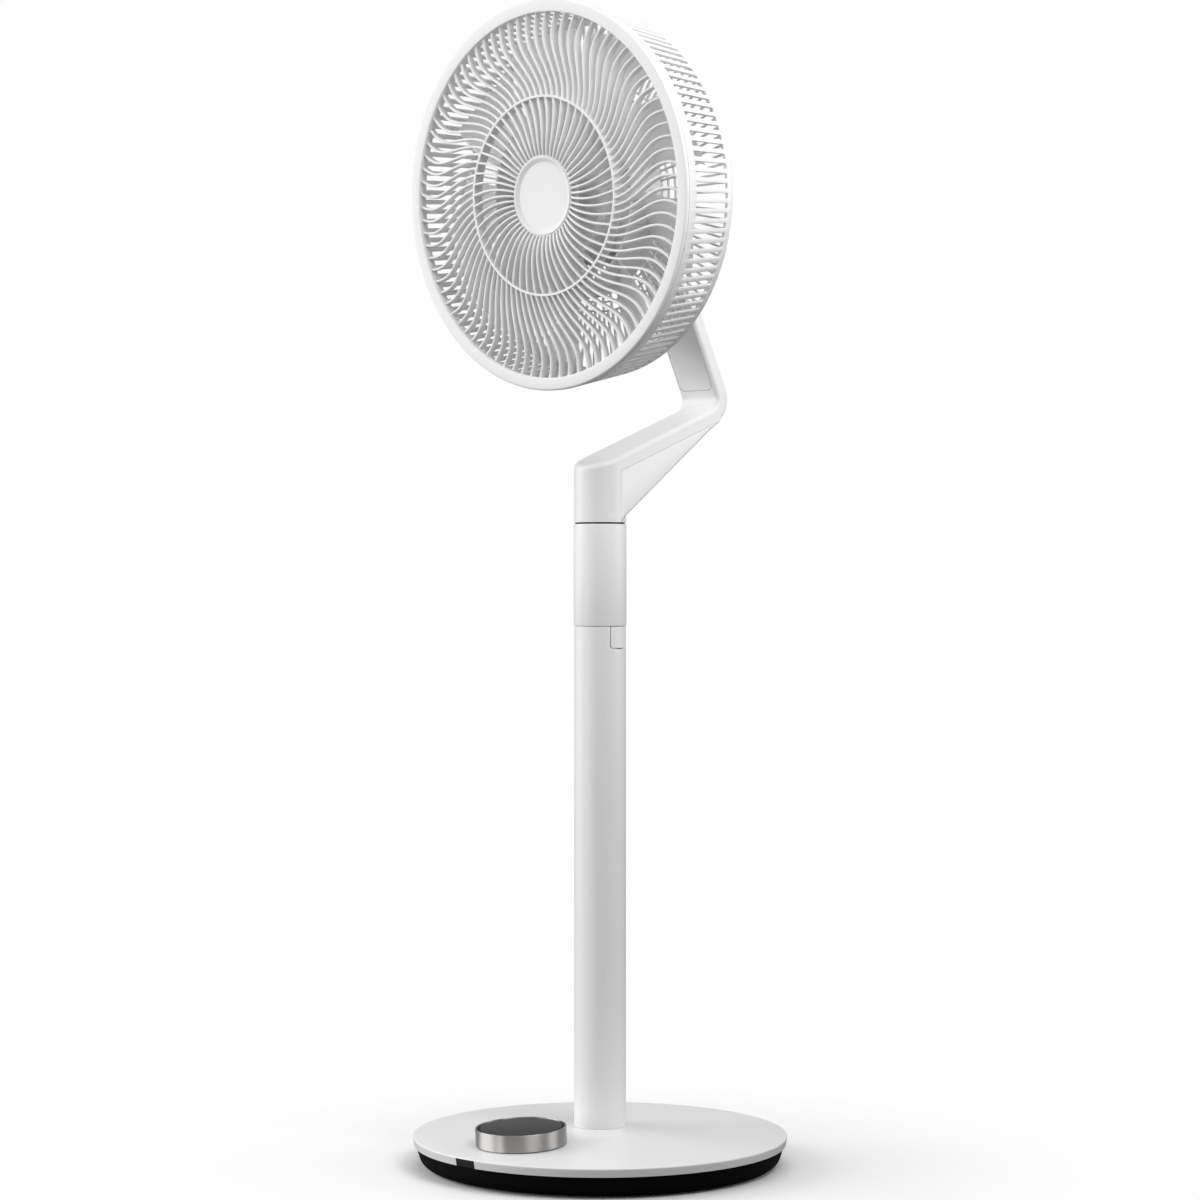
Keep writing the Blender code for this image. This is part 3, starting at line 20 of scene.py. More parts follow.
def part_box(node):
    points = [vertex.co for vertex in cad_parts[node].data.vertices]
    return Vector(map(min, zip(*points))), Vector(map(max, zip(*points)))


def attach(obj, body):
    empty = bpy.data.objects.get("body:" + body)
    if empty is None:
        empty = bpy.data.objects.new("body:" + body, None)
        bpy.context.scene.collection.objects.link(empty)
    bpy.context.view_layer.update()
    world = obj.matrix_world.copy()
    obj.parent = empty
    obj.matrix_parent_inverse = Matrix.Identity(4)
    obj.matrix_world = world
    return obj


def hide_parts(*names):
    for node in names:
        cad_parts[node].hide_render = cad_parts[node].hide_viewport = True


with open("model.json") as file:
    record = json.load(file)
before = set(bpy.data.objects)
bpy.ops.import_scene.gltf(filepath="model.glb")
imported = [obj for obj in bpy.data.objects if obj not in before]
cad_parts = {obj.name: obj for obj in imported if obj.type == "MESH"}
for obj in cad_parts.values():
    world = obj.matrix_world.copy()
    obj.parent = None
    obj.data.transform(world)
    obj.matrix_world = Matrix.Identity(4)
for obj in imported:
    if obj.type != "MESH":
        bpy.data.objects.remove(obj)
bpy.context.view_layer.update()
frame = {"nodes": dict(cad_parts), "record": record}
LOG = logging.getLogger("floor_fan")

Piece = bpy.types.Object
Tree = bpy.types.NodeTree
Corners = list[tuple[float, float, float]]

TILT_POINT = Vector((0.0, 0.0522, 0.8809))
HEAD_PLACE = Matrix.Translation(TILT_POINT) @ Matrix.Rotation(math.radians(94.05), 4, "X")
JOIN = 0.000004
GENTLE = 38.0


class Slot(Enum):
    """The record's material slots."""

    WHITE = "white_plastic"
    BLACK = "black_plastic"
    GLASS = "dark_glass"
    BRUSHED = "brushed_steel"
    STEEL = "plain_steel"
    SPRING = "spring_steel"
    BRONZE = "bearing_bronze"
    NYLON = "natural_nylon"
    RUBBER = "black_rubber"
    BOARD = "circuit_board"


class Body(Enum):
    """The bodies that the scene's own pieces ride on."""

    STAND = "stand"
    KNOB = "knob"
    BUTTON = "button"
    NECK = "neck"
    HEAD = "head"
    FAN = "fan"


@dataclass(frozen=True)
class Grid:
    """A batch of grids of points that are joined by quads.

    Args:
        points: Array of (grids, rows, columns, 3), or of (rows, columns, 3) for one grid.
        round_rows: True where the last row joins the first.
        round_columns: True where the last column joins the first.
        caps: True where the first and last rows are filled.
    """

    points: np.ndarray
    round_rows: bool = False
    round_columns: bool = False
    caps: bool = False

    def faces(self, start: int) -> list[list[int]]:
        """Faces of the batch.

        Args:
            start: Index of the batch's first point in the whole mesh.

        Returns:
            The quads and caps as lists of indices.
        """
        points = self.points if self.points.ndim == 4 else self.points[None]
        batch, rows, columns = points.shape[:3]
        row, column = np.meshgrid(
            np.arange(rows if self.round_rows else rows - 1),
            np.arange(columns if self.round_columns else columns - 1), indexing="ij")
        next_row, next_column = (row + 1) % rows, (column + 1) % columns
        quad = np.stack(
            (row * columns + column, next_row * columns + column,
             next_row * columns + next_column, row * columns + next_column), axis=-1).reshape(-1, 4)
        offsets = start + np.arange(batch)[:, None] * rows * columns
        faces = (quad[None] + offsets[:, None]).reshape(-1, 4).tolist()
        if self.caps:
            ring = np.arange(columns)
            faces += (ring + offsets).tolist() + (ring[::-1] + offsets + (rows - 1) * columns).tolist()
        return faces


@dataclass(frozen=True)
class Sheet:
    """One flat face through a loop of points, an array of (points, 3)."""

    points: np.ndarray

    def faces(self, start: int) -> list[list[int]]:
        """The face as a list of one list of indices, the first of which is start."""
        return [list(range(start, start + len(self.points)))]


def new_object(name: str, data: bpy.types.ID) -> Piece:
    """An object with this data, linked to the scene.

    Returns:
        The piece.
    """
    made = bpy.data.objects.new(name, data)
    bpy.context.scene.collection.objects.link(made)
    return made


def skin(name: str, grids: list[Grid | Sheet], place: Matrix | None = None, sharp: float = 32.0,
         bevel: float = 0.0) -> Piece:
    """One closed piece from grids of points.

    Args:
        name: The piece's name.
        grids: The grids that make it up.
        place: Where the piece's own frame lies, or None where its points are in the row frame.
        sharp: Edges over this angle in degrees stay sharp.
        bevel: Width of the rounding along sharp edges, or 0 for none.

    Returns:
        The finished object.
    """
    points = [grid.points.reshape(-1, 3) for grid in grids]
    starts = np.cumsum([0] + [len(flat) for flat in points[:-1]]).tolist()
    mesh = bpy.data.meshes.new(name)
    mesh.from_pydata(np.concatenate(points).tolist(), [],
                     [face for grid, start in zip(grids, starts) for face in grid.faces(start)])
    builder = bmesh.new()
    builder.from_mesh(mesh)
    bmesh.ops.remove_doubles(builder, verts=builder.verts, dist=JOIN)
    bmesh.ops.dissolve_degenerate(builder, dist=JOIN / 2, edges=builder.edges)
    bmesh.ops.recalc_face_normals(builder, faces=builder.faces)
    builder.to_mesh(mesh)
    builder.free()
    if place is not None:
        mesh.transform(place)
    piece = new_object(name, mesh)
    return rounded_edges(piece, bevel, 3, sharp) if bevel else shade(piece, sharp)


def shade(piece: Piece, sharp: float) -> Piece:
    """Shade a piece smooth except over edges of more than an angle in degrees, and return it.

    Returns:
        The piece.
    """
    piece.data.shade_smooth()
    piece.data.set_sharp_from_angle(angle=math.radians(sharp))
    return piece


def rounded_edges(piece: Piece, width: float, steps: int, sharp: float, harden: bool = True) -> Piece:
    """Round a piece's sharp edges and shade it smooth.

    Args:
        piece: The piece.
        width: Width of the rounding.
        steps: Segments of the rounding.
        sharp: Edges over this angle in degrees count as sharp.
        harden: True where the faces beside the rounding are flat.

    Returns:
        The same piece.
    """
    bevel = piece.modifiers.new("Rounding", "BEVEL")
    bevel.width = width
    bevel.segments = steps
    bevel.limit_method = "ANGLE"
    bevel.angle_limit = math.radians(sharp)
    bevel.use_clamp_overlap = True
    bevel.harden_normals = harden
    return shade(bake(piece), max(sharp, GENTLE))


def bake(piece: Piece) -> Piece:
    """Replace a piece's mesh with what its modifiers make of it, and return the piece.

    Returns:
        The piece.
    """
    mesh = bpy.data.meshes.new_from_object(piece.evaluated_get(bpy.context.evaluated_depsgraph_get()))
    piece.modifiers.clear()
    piece.data = mesh
    return piece


def carve(piece: Piece, cutter: Piece, operation: str = "DIFFERENCE") -> Piece:
    """Cut or join a piece with another object, which is used up.

    Args:
        piece: The piece that is changed.
        cutter: The object that cuts or joins it.
        operation: DIFFERENCE or UNION.

    Returns:
        The changed piece.
    """
    step = piece.modifiers.new("Carve", "BOOLEAN")
    step.operation = operation
    step.solver = "EXACT"
    step.object = cutter
    bake(piece)
    bpy.data.objects.remove(cutter)
    return piece


def fillet(corners: Corners, steps: int = 6, closed: bool = True) -> np.ndarray:
    """An outline through corners, each rounded by an arc that is tangent to both of its sides.

    With half the corner's angle h, the arc's centre lies radius / sin(h) along the corner's
    bisector, and the arc starts and ends radius / tan(h) along the sides.

    Args:
        corners: (x, y, radius) of each corner.
        steps: Segments in each arc.
        closed: False where the first and last corners are the outline's two ends.

    Returns:
        Array of (points, 2).
    """
    outline = []
    count = len(corners)
    for index, (x, y, radius) in enumerate(corners):
        here = Vector((x, y))
        if radius == 0.0 or (not closed and index in (0, count - 1)):
            outline.append(here)
            continue
        before = (Vector(corners[index - 1][:2]) - here).normalized()
        after = (Vector(corners[(index + 1) % count][:2]) - here).normalized()
        half = before.angle(after) / 2
        centre = here + (before + after).normalized() * radius / math.sin(half)
        start = here + before * radius / math.tan(half) - centre
        end = here + after * radius / math.tan(half) - centre
        turn = math.atan2(start.x * end.y - start.y * end.x, start.dot(end))
        outline += [centre + Matrix.Rotation(turn * step / steps, 2) @ start for step in range(steps + 1)]
    return np.array([tuple(point) for point in outline])


def polar(radius: np.ndarray, angle: np.ndarray, height: np.ndarray) -> np.ndarray:
    """Points (radius sin angle, radius cos angle, height), for arrays that fit each other's shapes."""
    radius, angle, height = np.broadcast_arrays(radius, angle, height)
    return np.stack((radius * np.sin(angle), radius * np.cos(angle), height), axis=-1)


def turn_profile(profile: np.ndarray, segments: int, closed: bool = True) -> Grid:
    """A profile of (radius, height) turned about Z in even steps.

    Args:
        profile: Array of (points, 2).
        segments: Number of steps round the axis.
        closed: True where the profile's last point joins its first.

    Returns:
        The grid, with the profile along its rows.
    """
    angle = np.linspace(0.0, math.tau, segments, endpoint=False)
    return Grid(polar(profile[:, :1], angle, profile[:, 1:]), round_rows=closed, round_columns=True)


def turned(corners: Corners, segments: int, steps: int = 6, closed: bool = True) -> Grid:
    """A profile with rounded corners turned about Z, as in fillet and turn_profile."""
    return turn_profile(fillet(corners, steps, closed), segments, closed)


def lathe(name: str, corners: Corners, segments: int, place: Matrix | None = None, steps: int = 6,
          closed: bool = True, sharp: float = 32.0) -> Piece:
    """A piece of one turned profile, as in turned and skin."""
    return skin(name, [turned(corners, segments, steps, closed)], place, sharp)


def rod(name: str, radius: float, start: float, end: float, segments: int, place: Matrix | None = None) -> Piece:
    """A plain rod about Z between two heights, for cutting and joining."""
    profile = np.array([(0.0, start), (radius, start), (radius, end), (0.0, end)])
    return skin(name, [turn_profile(profile, segments, closed=False)], place)


def block(name: str, low: tuple[float, float, float], high: tuple[float, float, float],
          place: Matrix | None = None) -> Piece:
    """A plain block between its lowest and highest corners, for cutting."""
    outline = np.array([low[:2], (high[0], low[1]), high[:2], (low[0], high[1])])
    return skin(name, [prism(outline, low[2], high[2])], place)


def oblong(left: float, right: float, low: float, high: float, left_round: float, right_round: float) -> Corners:
    """The corners of an oblong, with the radii of its left and right ones."""
    return [(left, low, left_round), (right, low, right_round), (right, high, right_round), (left, high, left_round)]


def arc(radius: float, start: float, end: float, count: int) -> np.ndarray:
    """Points (radius cos a, radius sin a) for even angles a between two."""
    angle = np.linspace(start, end, count)
    return np.column_stack((radius * np.cos(angle), radius * np.sin(angle)))


def array_of(items: bpy.types.bpy_prop_collection, name: str, width: int, kind: type = float) -> np.ndarray:
    """An attribute of a mesh's points, edges, faces or corners.

    Args:
        items: The points, edges, faces or corners.
        name: The attribute's name.
        width: How many numbers it has for each item.
        kind: The numbers' type.

    Returns:
        An array with one row for each item.
    """
    values = np.empty(len(items) * width, kind)
    items.foreach_get(name, values)
    return values.reshape(-1, width)


def prism(outline: np.ndarray, low: float, high: float) -> Grid:
    """An outline in X and Y drawn straight up between two heights, with both ends filled."""
    points = np.stack([np.column_stack((outline, np.full(len(outline), height))) for height in (low, high)])
    return Grid(points, round_columns=True, caps=True)


def wire(tree: Tree, nodes: dict[str, tuple[str, dict, dict]], links: tuple[str, ...]) -> None:
    """Add named nodes to a tree, or set one that it has, and join them.

    Args:
        tree: The tree.
        nodes: Each node's name, with its kind, its settings and the values of its inputs.
        links: Each link as "node.output > node.input", with a socket's name or number.
    """
    for name, (kind, settings, values) in nodes.items():
        node = tree.nodes.get(name) or tree.nodes.new(kind if kind.startswith("Node") else "ShaderNode" + kind)
        node.name = name
        for setting, value in settings.items():
            setattr(node, setting, value)
        for socket, value in values.items():
            node.inputs[socket].default_value = value
    for link in links:
        (start, out), (end, into) = (side.split(".") for side in link.split(" > "))
        tree.links.new(tree.nodes[start].outputs[int(out) if out.isdigit() else out],
                       tree.nodes[end].inputs[int(into) if into.isdigit() else into])


def surface_group(name: str, numbers: dict[str, float]) -> Tree:
    """A node group from a coordinate, a colour and numbers to colour, roughness and height.

    Args:
        name: The group's name.
        numbers: Its number inputs with their usual values.

    Returns:
        The group, with its two end nodes and the node that tints the colour.
    """
    group = bpy.data.node_groups.new(name, "ShaderNodeTree")
    sockets = [("Coordinate", "INPUT", "Vector"), ("Colour", "INPUT", "Color")]
    sockets += [(number, "INPUT", "Float") for number in numbers]
    sockets += [("Colour", "OUTPUT", "Color"), ("Roughness", "OUTPUT", "Float"), ("Height", "OUTPUT", "Float")]
    for title, way, kind in sockets:
        socket = group.interface.new_socket(name=title, in_out=way, socket_type="NodeSocket" + kind)
        if way == "INPUT" and kind == "Float":
            socket.default_value = numbers[title]
    wire(group, {
        "given": ("NodeGroupInput", {}, {}),
        "result": ("NodeGroupOutput", {}, {}),
        "shade": ("Math", {"operation": "MULTIPLY_ADD"}, {}),
        "tinted": ("Mix", {"data_type": "RGBA", "blend_type": "MULTIPLY"}, {"Factor": 1.0}),
        "rough": ("Math", {"operation": "MULTIPLY_ADD"}, {}),
    }, ("given.Colour > tinted.6", "shade.0 > tinted.7", "given.Roughness > rough.2", "tinted.2 > result.Colour",
        "rough.0 > result.Roughness"))
    return group


def surface_material(name: str, group: Tree, values: dict, depth: float, settings: dict) -> bpy.types.Material:
    """A material that takes its colour, roughness and fine relief from a surface group.

    Args:
        name: The material's name.
        group: The group.
        values: The group's inputs.
        depth: Depth of the relief.
        settings: The shader's own inputs.

    Returns:
        The material.
    """
    material = bpy.data.materials.new(name)
    material.use_nodes = True
    wire(material.node_tree, {
        "Principled BSDF": ("", {}, settings),
        "place": ("TexCoord", {}, {}),
        "surface": ("Group", {"node_tree": group}, values),
        "bump": ("Bump", {}, {"Distance": depth}),
    }, ("place.Object > surface.Coordinate", "surface.Colour > Principled BSDF.Base Color",
        "surface.Roughness > Principled BSDF.Roughness", "surface.Height > bump.Height",
        "bump.Normal > Principled BSDF.Normal"))
    return material


@dataclass(frozen=True)
class Moulded:
    """A moulded plastic, rubber or glass finish."""

    slot: Slot
    colour: tuple[float, float, float]
    roughness: float
    tint: float
    roughness_change: float
    grain_scale: float
    grain_depth: float
    specular: float = 0.5

    @staticmethod
    def group() -> Tree:
        """Node group of moulded plastic: faint cloudy tint and gloss, and a fine spark-eroded grain.

        Returns:
            The group.
        """
        group = surface_group("moulded_surface", {
            "Tint": 0.02, "Roughness": 0.4, "Roughness Change": 0.05, "Grain Scale": 1800.0})
        wire(group, {
            "cloud": ("TexNoise", {}, {"Scale": 9.0, "Detail": 3.0}),
            "grain": ("TexNoise", {}, {"Detail": 2.0}),
            "centred": ("Math", {"operation": "SUBTRACT"}, {1: 0.5}),
            "shade": ("", {}, {2: 1.0}),
        }, ("given.Coordinate > cloud.Vector", "given.Coordinate > grain.Vector", "given.Grain Scale > grain.Scale",
            "cloud.Fac > centred.0", "centred.0 > shade.0", "given.Tint > shade.1", "centred.0 > rough.0",
            "given.Roughness Change > rough.1", "grain.Fac > result.Height"))
        return group

    def build(self, group: Tree, name: str = "") -> bpy.types.Material:
        """Make the material.

        Args:
            group: The node group of moulded surfaces.
            name: The material's name, or nothing where it is named for its slot.

        Returns:
            The material.
        """
        values = {"Colour": (*self.colour, 1.0), "Tint": self.tint, "Roughness": self.roughness,
                  "Roughness Change": self.roughness_change, "Grain Scale": self.grain_scale}
        return surface_material(name or "fan_" + self.slot.value, group, values, self.grain_depth,
                                {"Specular IOR Level": self.specular})


@dataclass(frozen=True)
class Brushed:
    """A metal finish brushed round an upright axis."""

    slot: Slot
    colour: tuple[float, float, float]
    roughness: float
    streaks: float
    axis_at: tuple[float, float, float] = (0.0, 0.0, 0.0)
    depth: float = 0.00001
    spread: float = 0.0

    @staticmethod
    def group() -> Tree:
        """Node group of brushed metal: streaks that run round an upright axis.

        The streaks are noise on (radius, height), which is the same all the way round, broken up
        by a second noise that changes slowly along them.

        Returns:
            The group.
        """
        group = surface_group("brushed_metal", {"Streaks": 0.2, "Roughness": 0.3})
        wire(group, {
            "split": ("SeparateXYZ", {}, {}),
            "across": ("CombineXYZ", {}, {}),
            "radius": ("VectorMath", {"operation": "LENGTH"}, {}),
            "line": ("CombineXYZ", {}, {}),
            "streak": ("TexNoise", {}, {"Scale": 2600.0, "Detail": 4.0}),
            "slow": ("TexNoise", {}, {"Scale": 60.0}),
            "blend": ("Math", {"operation": "MULTIPLY"}, {}),
            "shade": ("", {}, {2: 0.9}),
            "rough": ("", {}, {1: 0.12}),
        }, ("given.Coordinate > split.0", "split.X > across.X", "split.Y > across.Y", "across.0 > radius.0",
            "radius.Value > line.X", "split.Z > line.Z", "line.0 > streak.Vector", "given.Coordinate > slow.Vector",
            "streak.Fac > blend.0", "slow.Fac > blend.1", "blend.0 > shade.0", "given.Streaks > shade.1",
            "blend.0 > rough.0", "streak.Fac > result.Height"))
        return group

    def build(self, group: Tree) -> bpy.types.Material:
        """Make the material.

        Args:
            group: The node group of brushed metal.

        Returns:
            The material.
        """
        values = {"Colour": (*self.colour, 1.0), "Streaks": self.streaks, "Roughness": self.roughness}
        material = surface_material("fan_" + self.slot.value, group, values, self.depth, {"Metallic": 1.0})
        wire(material.node_tree, {"centre": ("Mapping", {}, {"Location": self.axis_at})},
             ("place.Object > centre.Vector", "centre.Vector > surface.Coordinate"))
        if self.spread:
            wire(material.node_tree, {
                "Principled BSDF": ("", {}, {"Anisotropic": self.spread, "Anisotropic Rotation": 0.25}),
                "round axis": ("Tangent", {"direction_type": "RADIAL", "axis": "Z"}, {}),
            }, ("round axis.0 > Principled BSDF.Tangent",))
        return material


@dataclass
class Finishes:
    """The materials of the fan."""

    made: dict[Slot, bpy.types.Material] = field(default_factory=dict)
    polished: bpy.types.Material | None = None

    def build(self) -> None:
        """Make every finish of the fan."""
        moulded, brushed = Moulded.group(), Brushed.group()
        for finish in (
            Moulded(Slot.WHITE, (0.86, 0.86, 0.86), 0.38, 0.018, 0.05, 2200.0, 0.00002),
            Moulded(Slot.BLACK, (0.003, 0.003, 0.003), 0.55, 0.25, 0.08, 1500.0, 0.00004, specular=0.10),
            Moulded(Slot.GLASS, (0.030, 0.030, 0.031), 0.26, 0.10, 0.03, 400.0, 0.000002, specular=0.08),
            Moulded(Slot.NYLON, (0.74, 0.71, 0.63), 0.50, 0.06, 0.06, 900.0, 0.00003),
            Moulded(Slot.RUBBER, (0.016, 0.016, 0.016), 0.85, 0.30, 0.06, 1300.0, 0.00008),
            Moulded(Slot.BOARD, (0.02, 0.13, 0.05), 0.45, 0.20, 0.10, 700.0, 0.00003),
        ):
            self.made[finish.slot] = finish.build(moulded)
        blades = Moulded(Slot.WHITE, (0.86, 0.86, 0.86), 0.16, 0.018, 0.03, 2200.0, 0.000004)
        self.polished = blades.build(moulded, "fan_polished_white")
        for metal in (
            Brushed(Slot.BRUSHED, (0.56, 0.55, 0.54), 0.46, 0.35, (0.0, 0.1, 0.0), 0.00003, 1.0),
            Brushed(Slot.STEEL, (0.42, 0.42, 0.43), 0.40, 0.25),
            Brushed(Slot.SPRING, (0.50, 0.50, 0.50), 0.30, 0.20),
            Brushed(Slot.BRONZE, (0.48, 0.30, 0.14), 0.38, 0.30),
        ):
            self.made[metal.slot] = metal.build(brushed)

    def give(self, piece: Piece, slot: Slot, polished: bool) -> None:
        """Put a finish on a piece.

        Args:
            piece: The piece.
            slot: The finish.
            polished: True for the polished white of the blades.
        """
        piece.data.materials.clear()
        piece.data.materials.append(self.polished if polished else self.made[slot])

    def dress_frame(self) -> None:
        """Give every CAD node the finish of its material slot."""
        slots = {row["node"]: row["material_slot"] for row in frame["record"]["subparts"]}
        for name, node in frame["nodes"].items():
            if name in slots:
                node.data.materials.clear()
                node.data.materials.append(self.made[Slot(slots[name])])


@dataclass
class Assembly:
    """What the fan's sub-assemblies share."""

    finishes: Finishes

    def settle(self, piece: Piece, body: Body, slot: Slot, *nodes: str, polished: bool = False) -> None:
        """Dress a finished piece, put it on its body and hide the CAD nodes that it replaces.

        Args:
            piece: The piece.
            body: The body that it rides on.
            slot: Its finish.
            *nodes: The CAD nodes that it replaces.
            polished: True for the polished white of the blades.
        """
        self.finishes.give(piece, slot, polished)
        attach(piece, body.value)
        if nodes:
            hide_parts(*nodes)
        LOG.info("%s on %s, %d faces", piece.name, body.value, len(piece.data.polygons))


@dataclass
class Base(Assembly):
    """The round base: cover, skirt, remote window, power inlet and feet."""

    radius: float = 0.170
    rim_top: float = 0.028
    rim_bottom: float = 0.0203
    draft: float = 0.0014
    crown: float = 0.0074
    wall: float = 0.0025
    pole_radius: float = 0.0235
    gap: float = 0.0003
    steps_round: int = 180
    window_half: float = 0.0115
    window_depth: float = 0.007
    window_top: float = 0.0271
    skirt_radius: float = 0.167
    knee_radius: float = 0.1625
    knee_height: float = 0.0055
    foot_radius: float = 0.1570
    floor_height: float = 0.002
    tub_wall: float = 0.003
    inlet_bore: float = 0.0050
    feet: int = 5

    def crown_height(self, radius: float) -> float:
        """Height of the cover's top at a radius, which falls evenly to the rim."""
        edge = self.radius - 0.001
        return self.rim_top + self.crown * (edge - radius) / (edge - self.pole_radius)

    def cover(self) -> Piece:
        """The cover: a shallow cone with a rounded rim, notched for the window.

        The profile is turned about Z. Within the window's width, the rim's part of it is drawn in
        to the back of the notch.

        Returns:
            The piece.
        """
        hole = self.pole_radius + self.gap
        foot = self.radius - self.draft
        inner = foot - self.wall
        ceiling = self.crown_height(inner) - self.wall
        rim = fillet([(hole, self.crown_height(hole), 0.0), (self.radius, self.rim_top, 0.0012),
                      (foot, self.rim_bottom, 0.0)], closed=False, steps=8)
        plain = np.vstack((
            np.linspace(rim[0], rim[1], 10)[:-1], rim[1:-1], np.linspace(rim[-2], rim[-1], 5)[1:],
            [(inner, self.rim_bottom), (inner, ceiling), (hole, self.crown_height(hole) - self.wall)]))
        notched = plain.copy()
        low = np.flatnonzero((plain[:, 1] < self.window_top) & (plain[:, 0] > inner - self.gap))
        low = low[low > 10]
        back = self.radius - self.window_depth
        notched[low[0]] = (plain[low[0] - 1][0], self.window_top)
        notched[low[1:-1]] = (back, self.window_top)
        notched[low[-1]] = (back, ceiling)
        half = math.asin(self.window_half / self.radius)
        step = math.tau / self.steps_round
        whole = np.arange(math.ceil(half / step), self.steps_round - math.floor(half / step)) * step
        plain_angles = math.pi + np.concatenate(([half], whole, [math.tau - half]))
        notch_angles = math.pi + np.linspace(-half, half, 7)
        profile = np.stack([plain] * len(plain_angles) + [notched] * len(notch_angles), axis=1)
        points = polar(profile[..., 0], np.concatenate((plain_angles, notch_angles)), profile[..., 1])
        return skin("fan_base_cover", [Grid(points, round_rows=True, round_columns=True)], sharp=40.0)

    def window(self) -> Piece:
        """The black window that fills the notch, flush with the rim: a profile drawn round the axis.

        Returns:
            The piece.
        """
        half = math.asin(self.window_half / self.radius) - self.gap / self.radius
        foot = self.radius - self.draft
        top = self.window_top - self.gap
        front = foot + (top - self.rim_bottom) / (self.rim_top - self.rim_bottom) * self.draft
        back = self.radius - self.window_depth + self.gap
        ring = fillet([(front, top, 0.0003), (foot, self.rim_bottom, 0.0003), (back, self.rim_bottom, 0.0),
                       (back, top, 0.0)], steps=3)
        points = polar(ring[:, 0], math.pi + np.linspace(-half, half, 13)[:, None], ring[:, 1])
        return skin("fan_remote_window", [Grid(points, round_columns=True, caps=True)])

    def skirt(self) -> Piece:
        """The black tub: its skirt tapers to a rounded foot, and its floor is closed.

        Returns:
            The piece.
        """
        outer = fillet([
            (0.0, self.floor_height, 0.0),
            (self.foot_radius, self.floor_height, 0.0035),
            (self.knee_radius, self.knee_height, 0.012),
            (self.skirt_radius, self.rim_bottom - self.gap, 0.0),
        ], closed=False, steps=8)
        inner = np.array([
            (self.skirt_radius - self.tub_wall, self.rim_bottom - self.gap),
            (self.knee_radius - self.tub_wall, self.knee_height + self.tub_wall / 2),
            (self.foot_radius - self.tub_wall, self.floor_height + self.tub_wall),
            (0.0, self.floor_height + self.tub_wall),
        ])
        tub = skin("fan_base_skirt", [turn_profile(np.vstack((outer, inner)), self.steps_round, closed=False)])
        return shade(carve(tub, rod("inlet_bore", self.inlet_bore, 0.01, -0.01, 48, self.inlet_place())), 35.0)

    def foot(self, index: int) -> Piece:
        """One rubber foot with a rounded rim and a shallow dish.

        Args:
            index: Number of the foot's CAD node.

        Returns:
            The piece.
        """
        low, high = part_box(f"rubber_foot_{index}")
        radius, dish = (high.y - low.y) / 2, low.z + 0.0004
        corners = [(0.0, high.z, 0.0), (radius, high.z, 0.0002), (radius, low.z, 0.0005),
                   (radius * 0.72, low.z, 0.0003), (radius * 0.66, dish, 0.0003), (0.0, dish, 0.0)]
        middle = (low + high) / 2
        place = Matrix.Translation((middle.x, middle.y, 0.0))
        return lathe(f"fan_rubber_foot_{index}", corners, 40, place, 3, False)

    def inlet_place(self) -> Matrix:
        """Where the power inlet's mouth lies, its Z out of the rear of the skirt."""
        low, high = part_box("dc_inlet")
        return Matrix.Translation((0.0, high.y, (low.z + high.z) / 2)) @ Matrix.Rotation(-math.pi / 2, 4, "X")

    def inlet(self) -> Piece:
        """The power inlet: a barrel with a rounded mouth and a pin in its middle.

        Returns:
            The piece.
        """
        barrel = turned([
            (0.0, -0.0095, 0.0), (0.0034, -0.0095, 0.0), (0.0034, 0.0, 0.0004), (0.0047, 0.0, 0.0004),
            (0.0047, -0.014, 0.0002), (0.0, -0.014, 0.0)], 48, 4, False)
        pin = turned([(0.0, -0.0012, 0.0), (0.0009, -0.0012, 0.0006), (0.0009, -0.0100, 0.0), (0.0, -0.0100, 0.0)],
                     20, 4, False)
        return skin("fan_power_inlet", [barrel, pin], self.inlet_place())

    def build(self) -> None:
        """Make and settle the base's pieces."""
        self.settle(self.cover(), Body.STAND, Slot.WHITE, "base_cover")
        self.settle(self.window(), Body.STAND, Slot.GLASS, "sensor_window")
        self.settle(self.skirt(), Body.STAND, Slot.BLACK, "base_tub")
        self.settle(self.inlet(), Body.STAND, Slot.GLASS, "dc_inlet")
        for index in range(1, self.feet + 1):
            self.settle(self.foot(index), Body.STAND, Slot.RUBBER, f"rubber_foot_{index}")


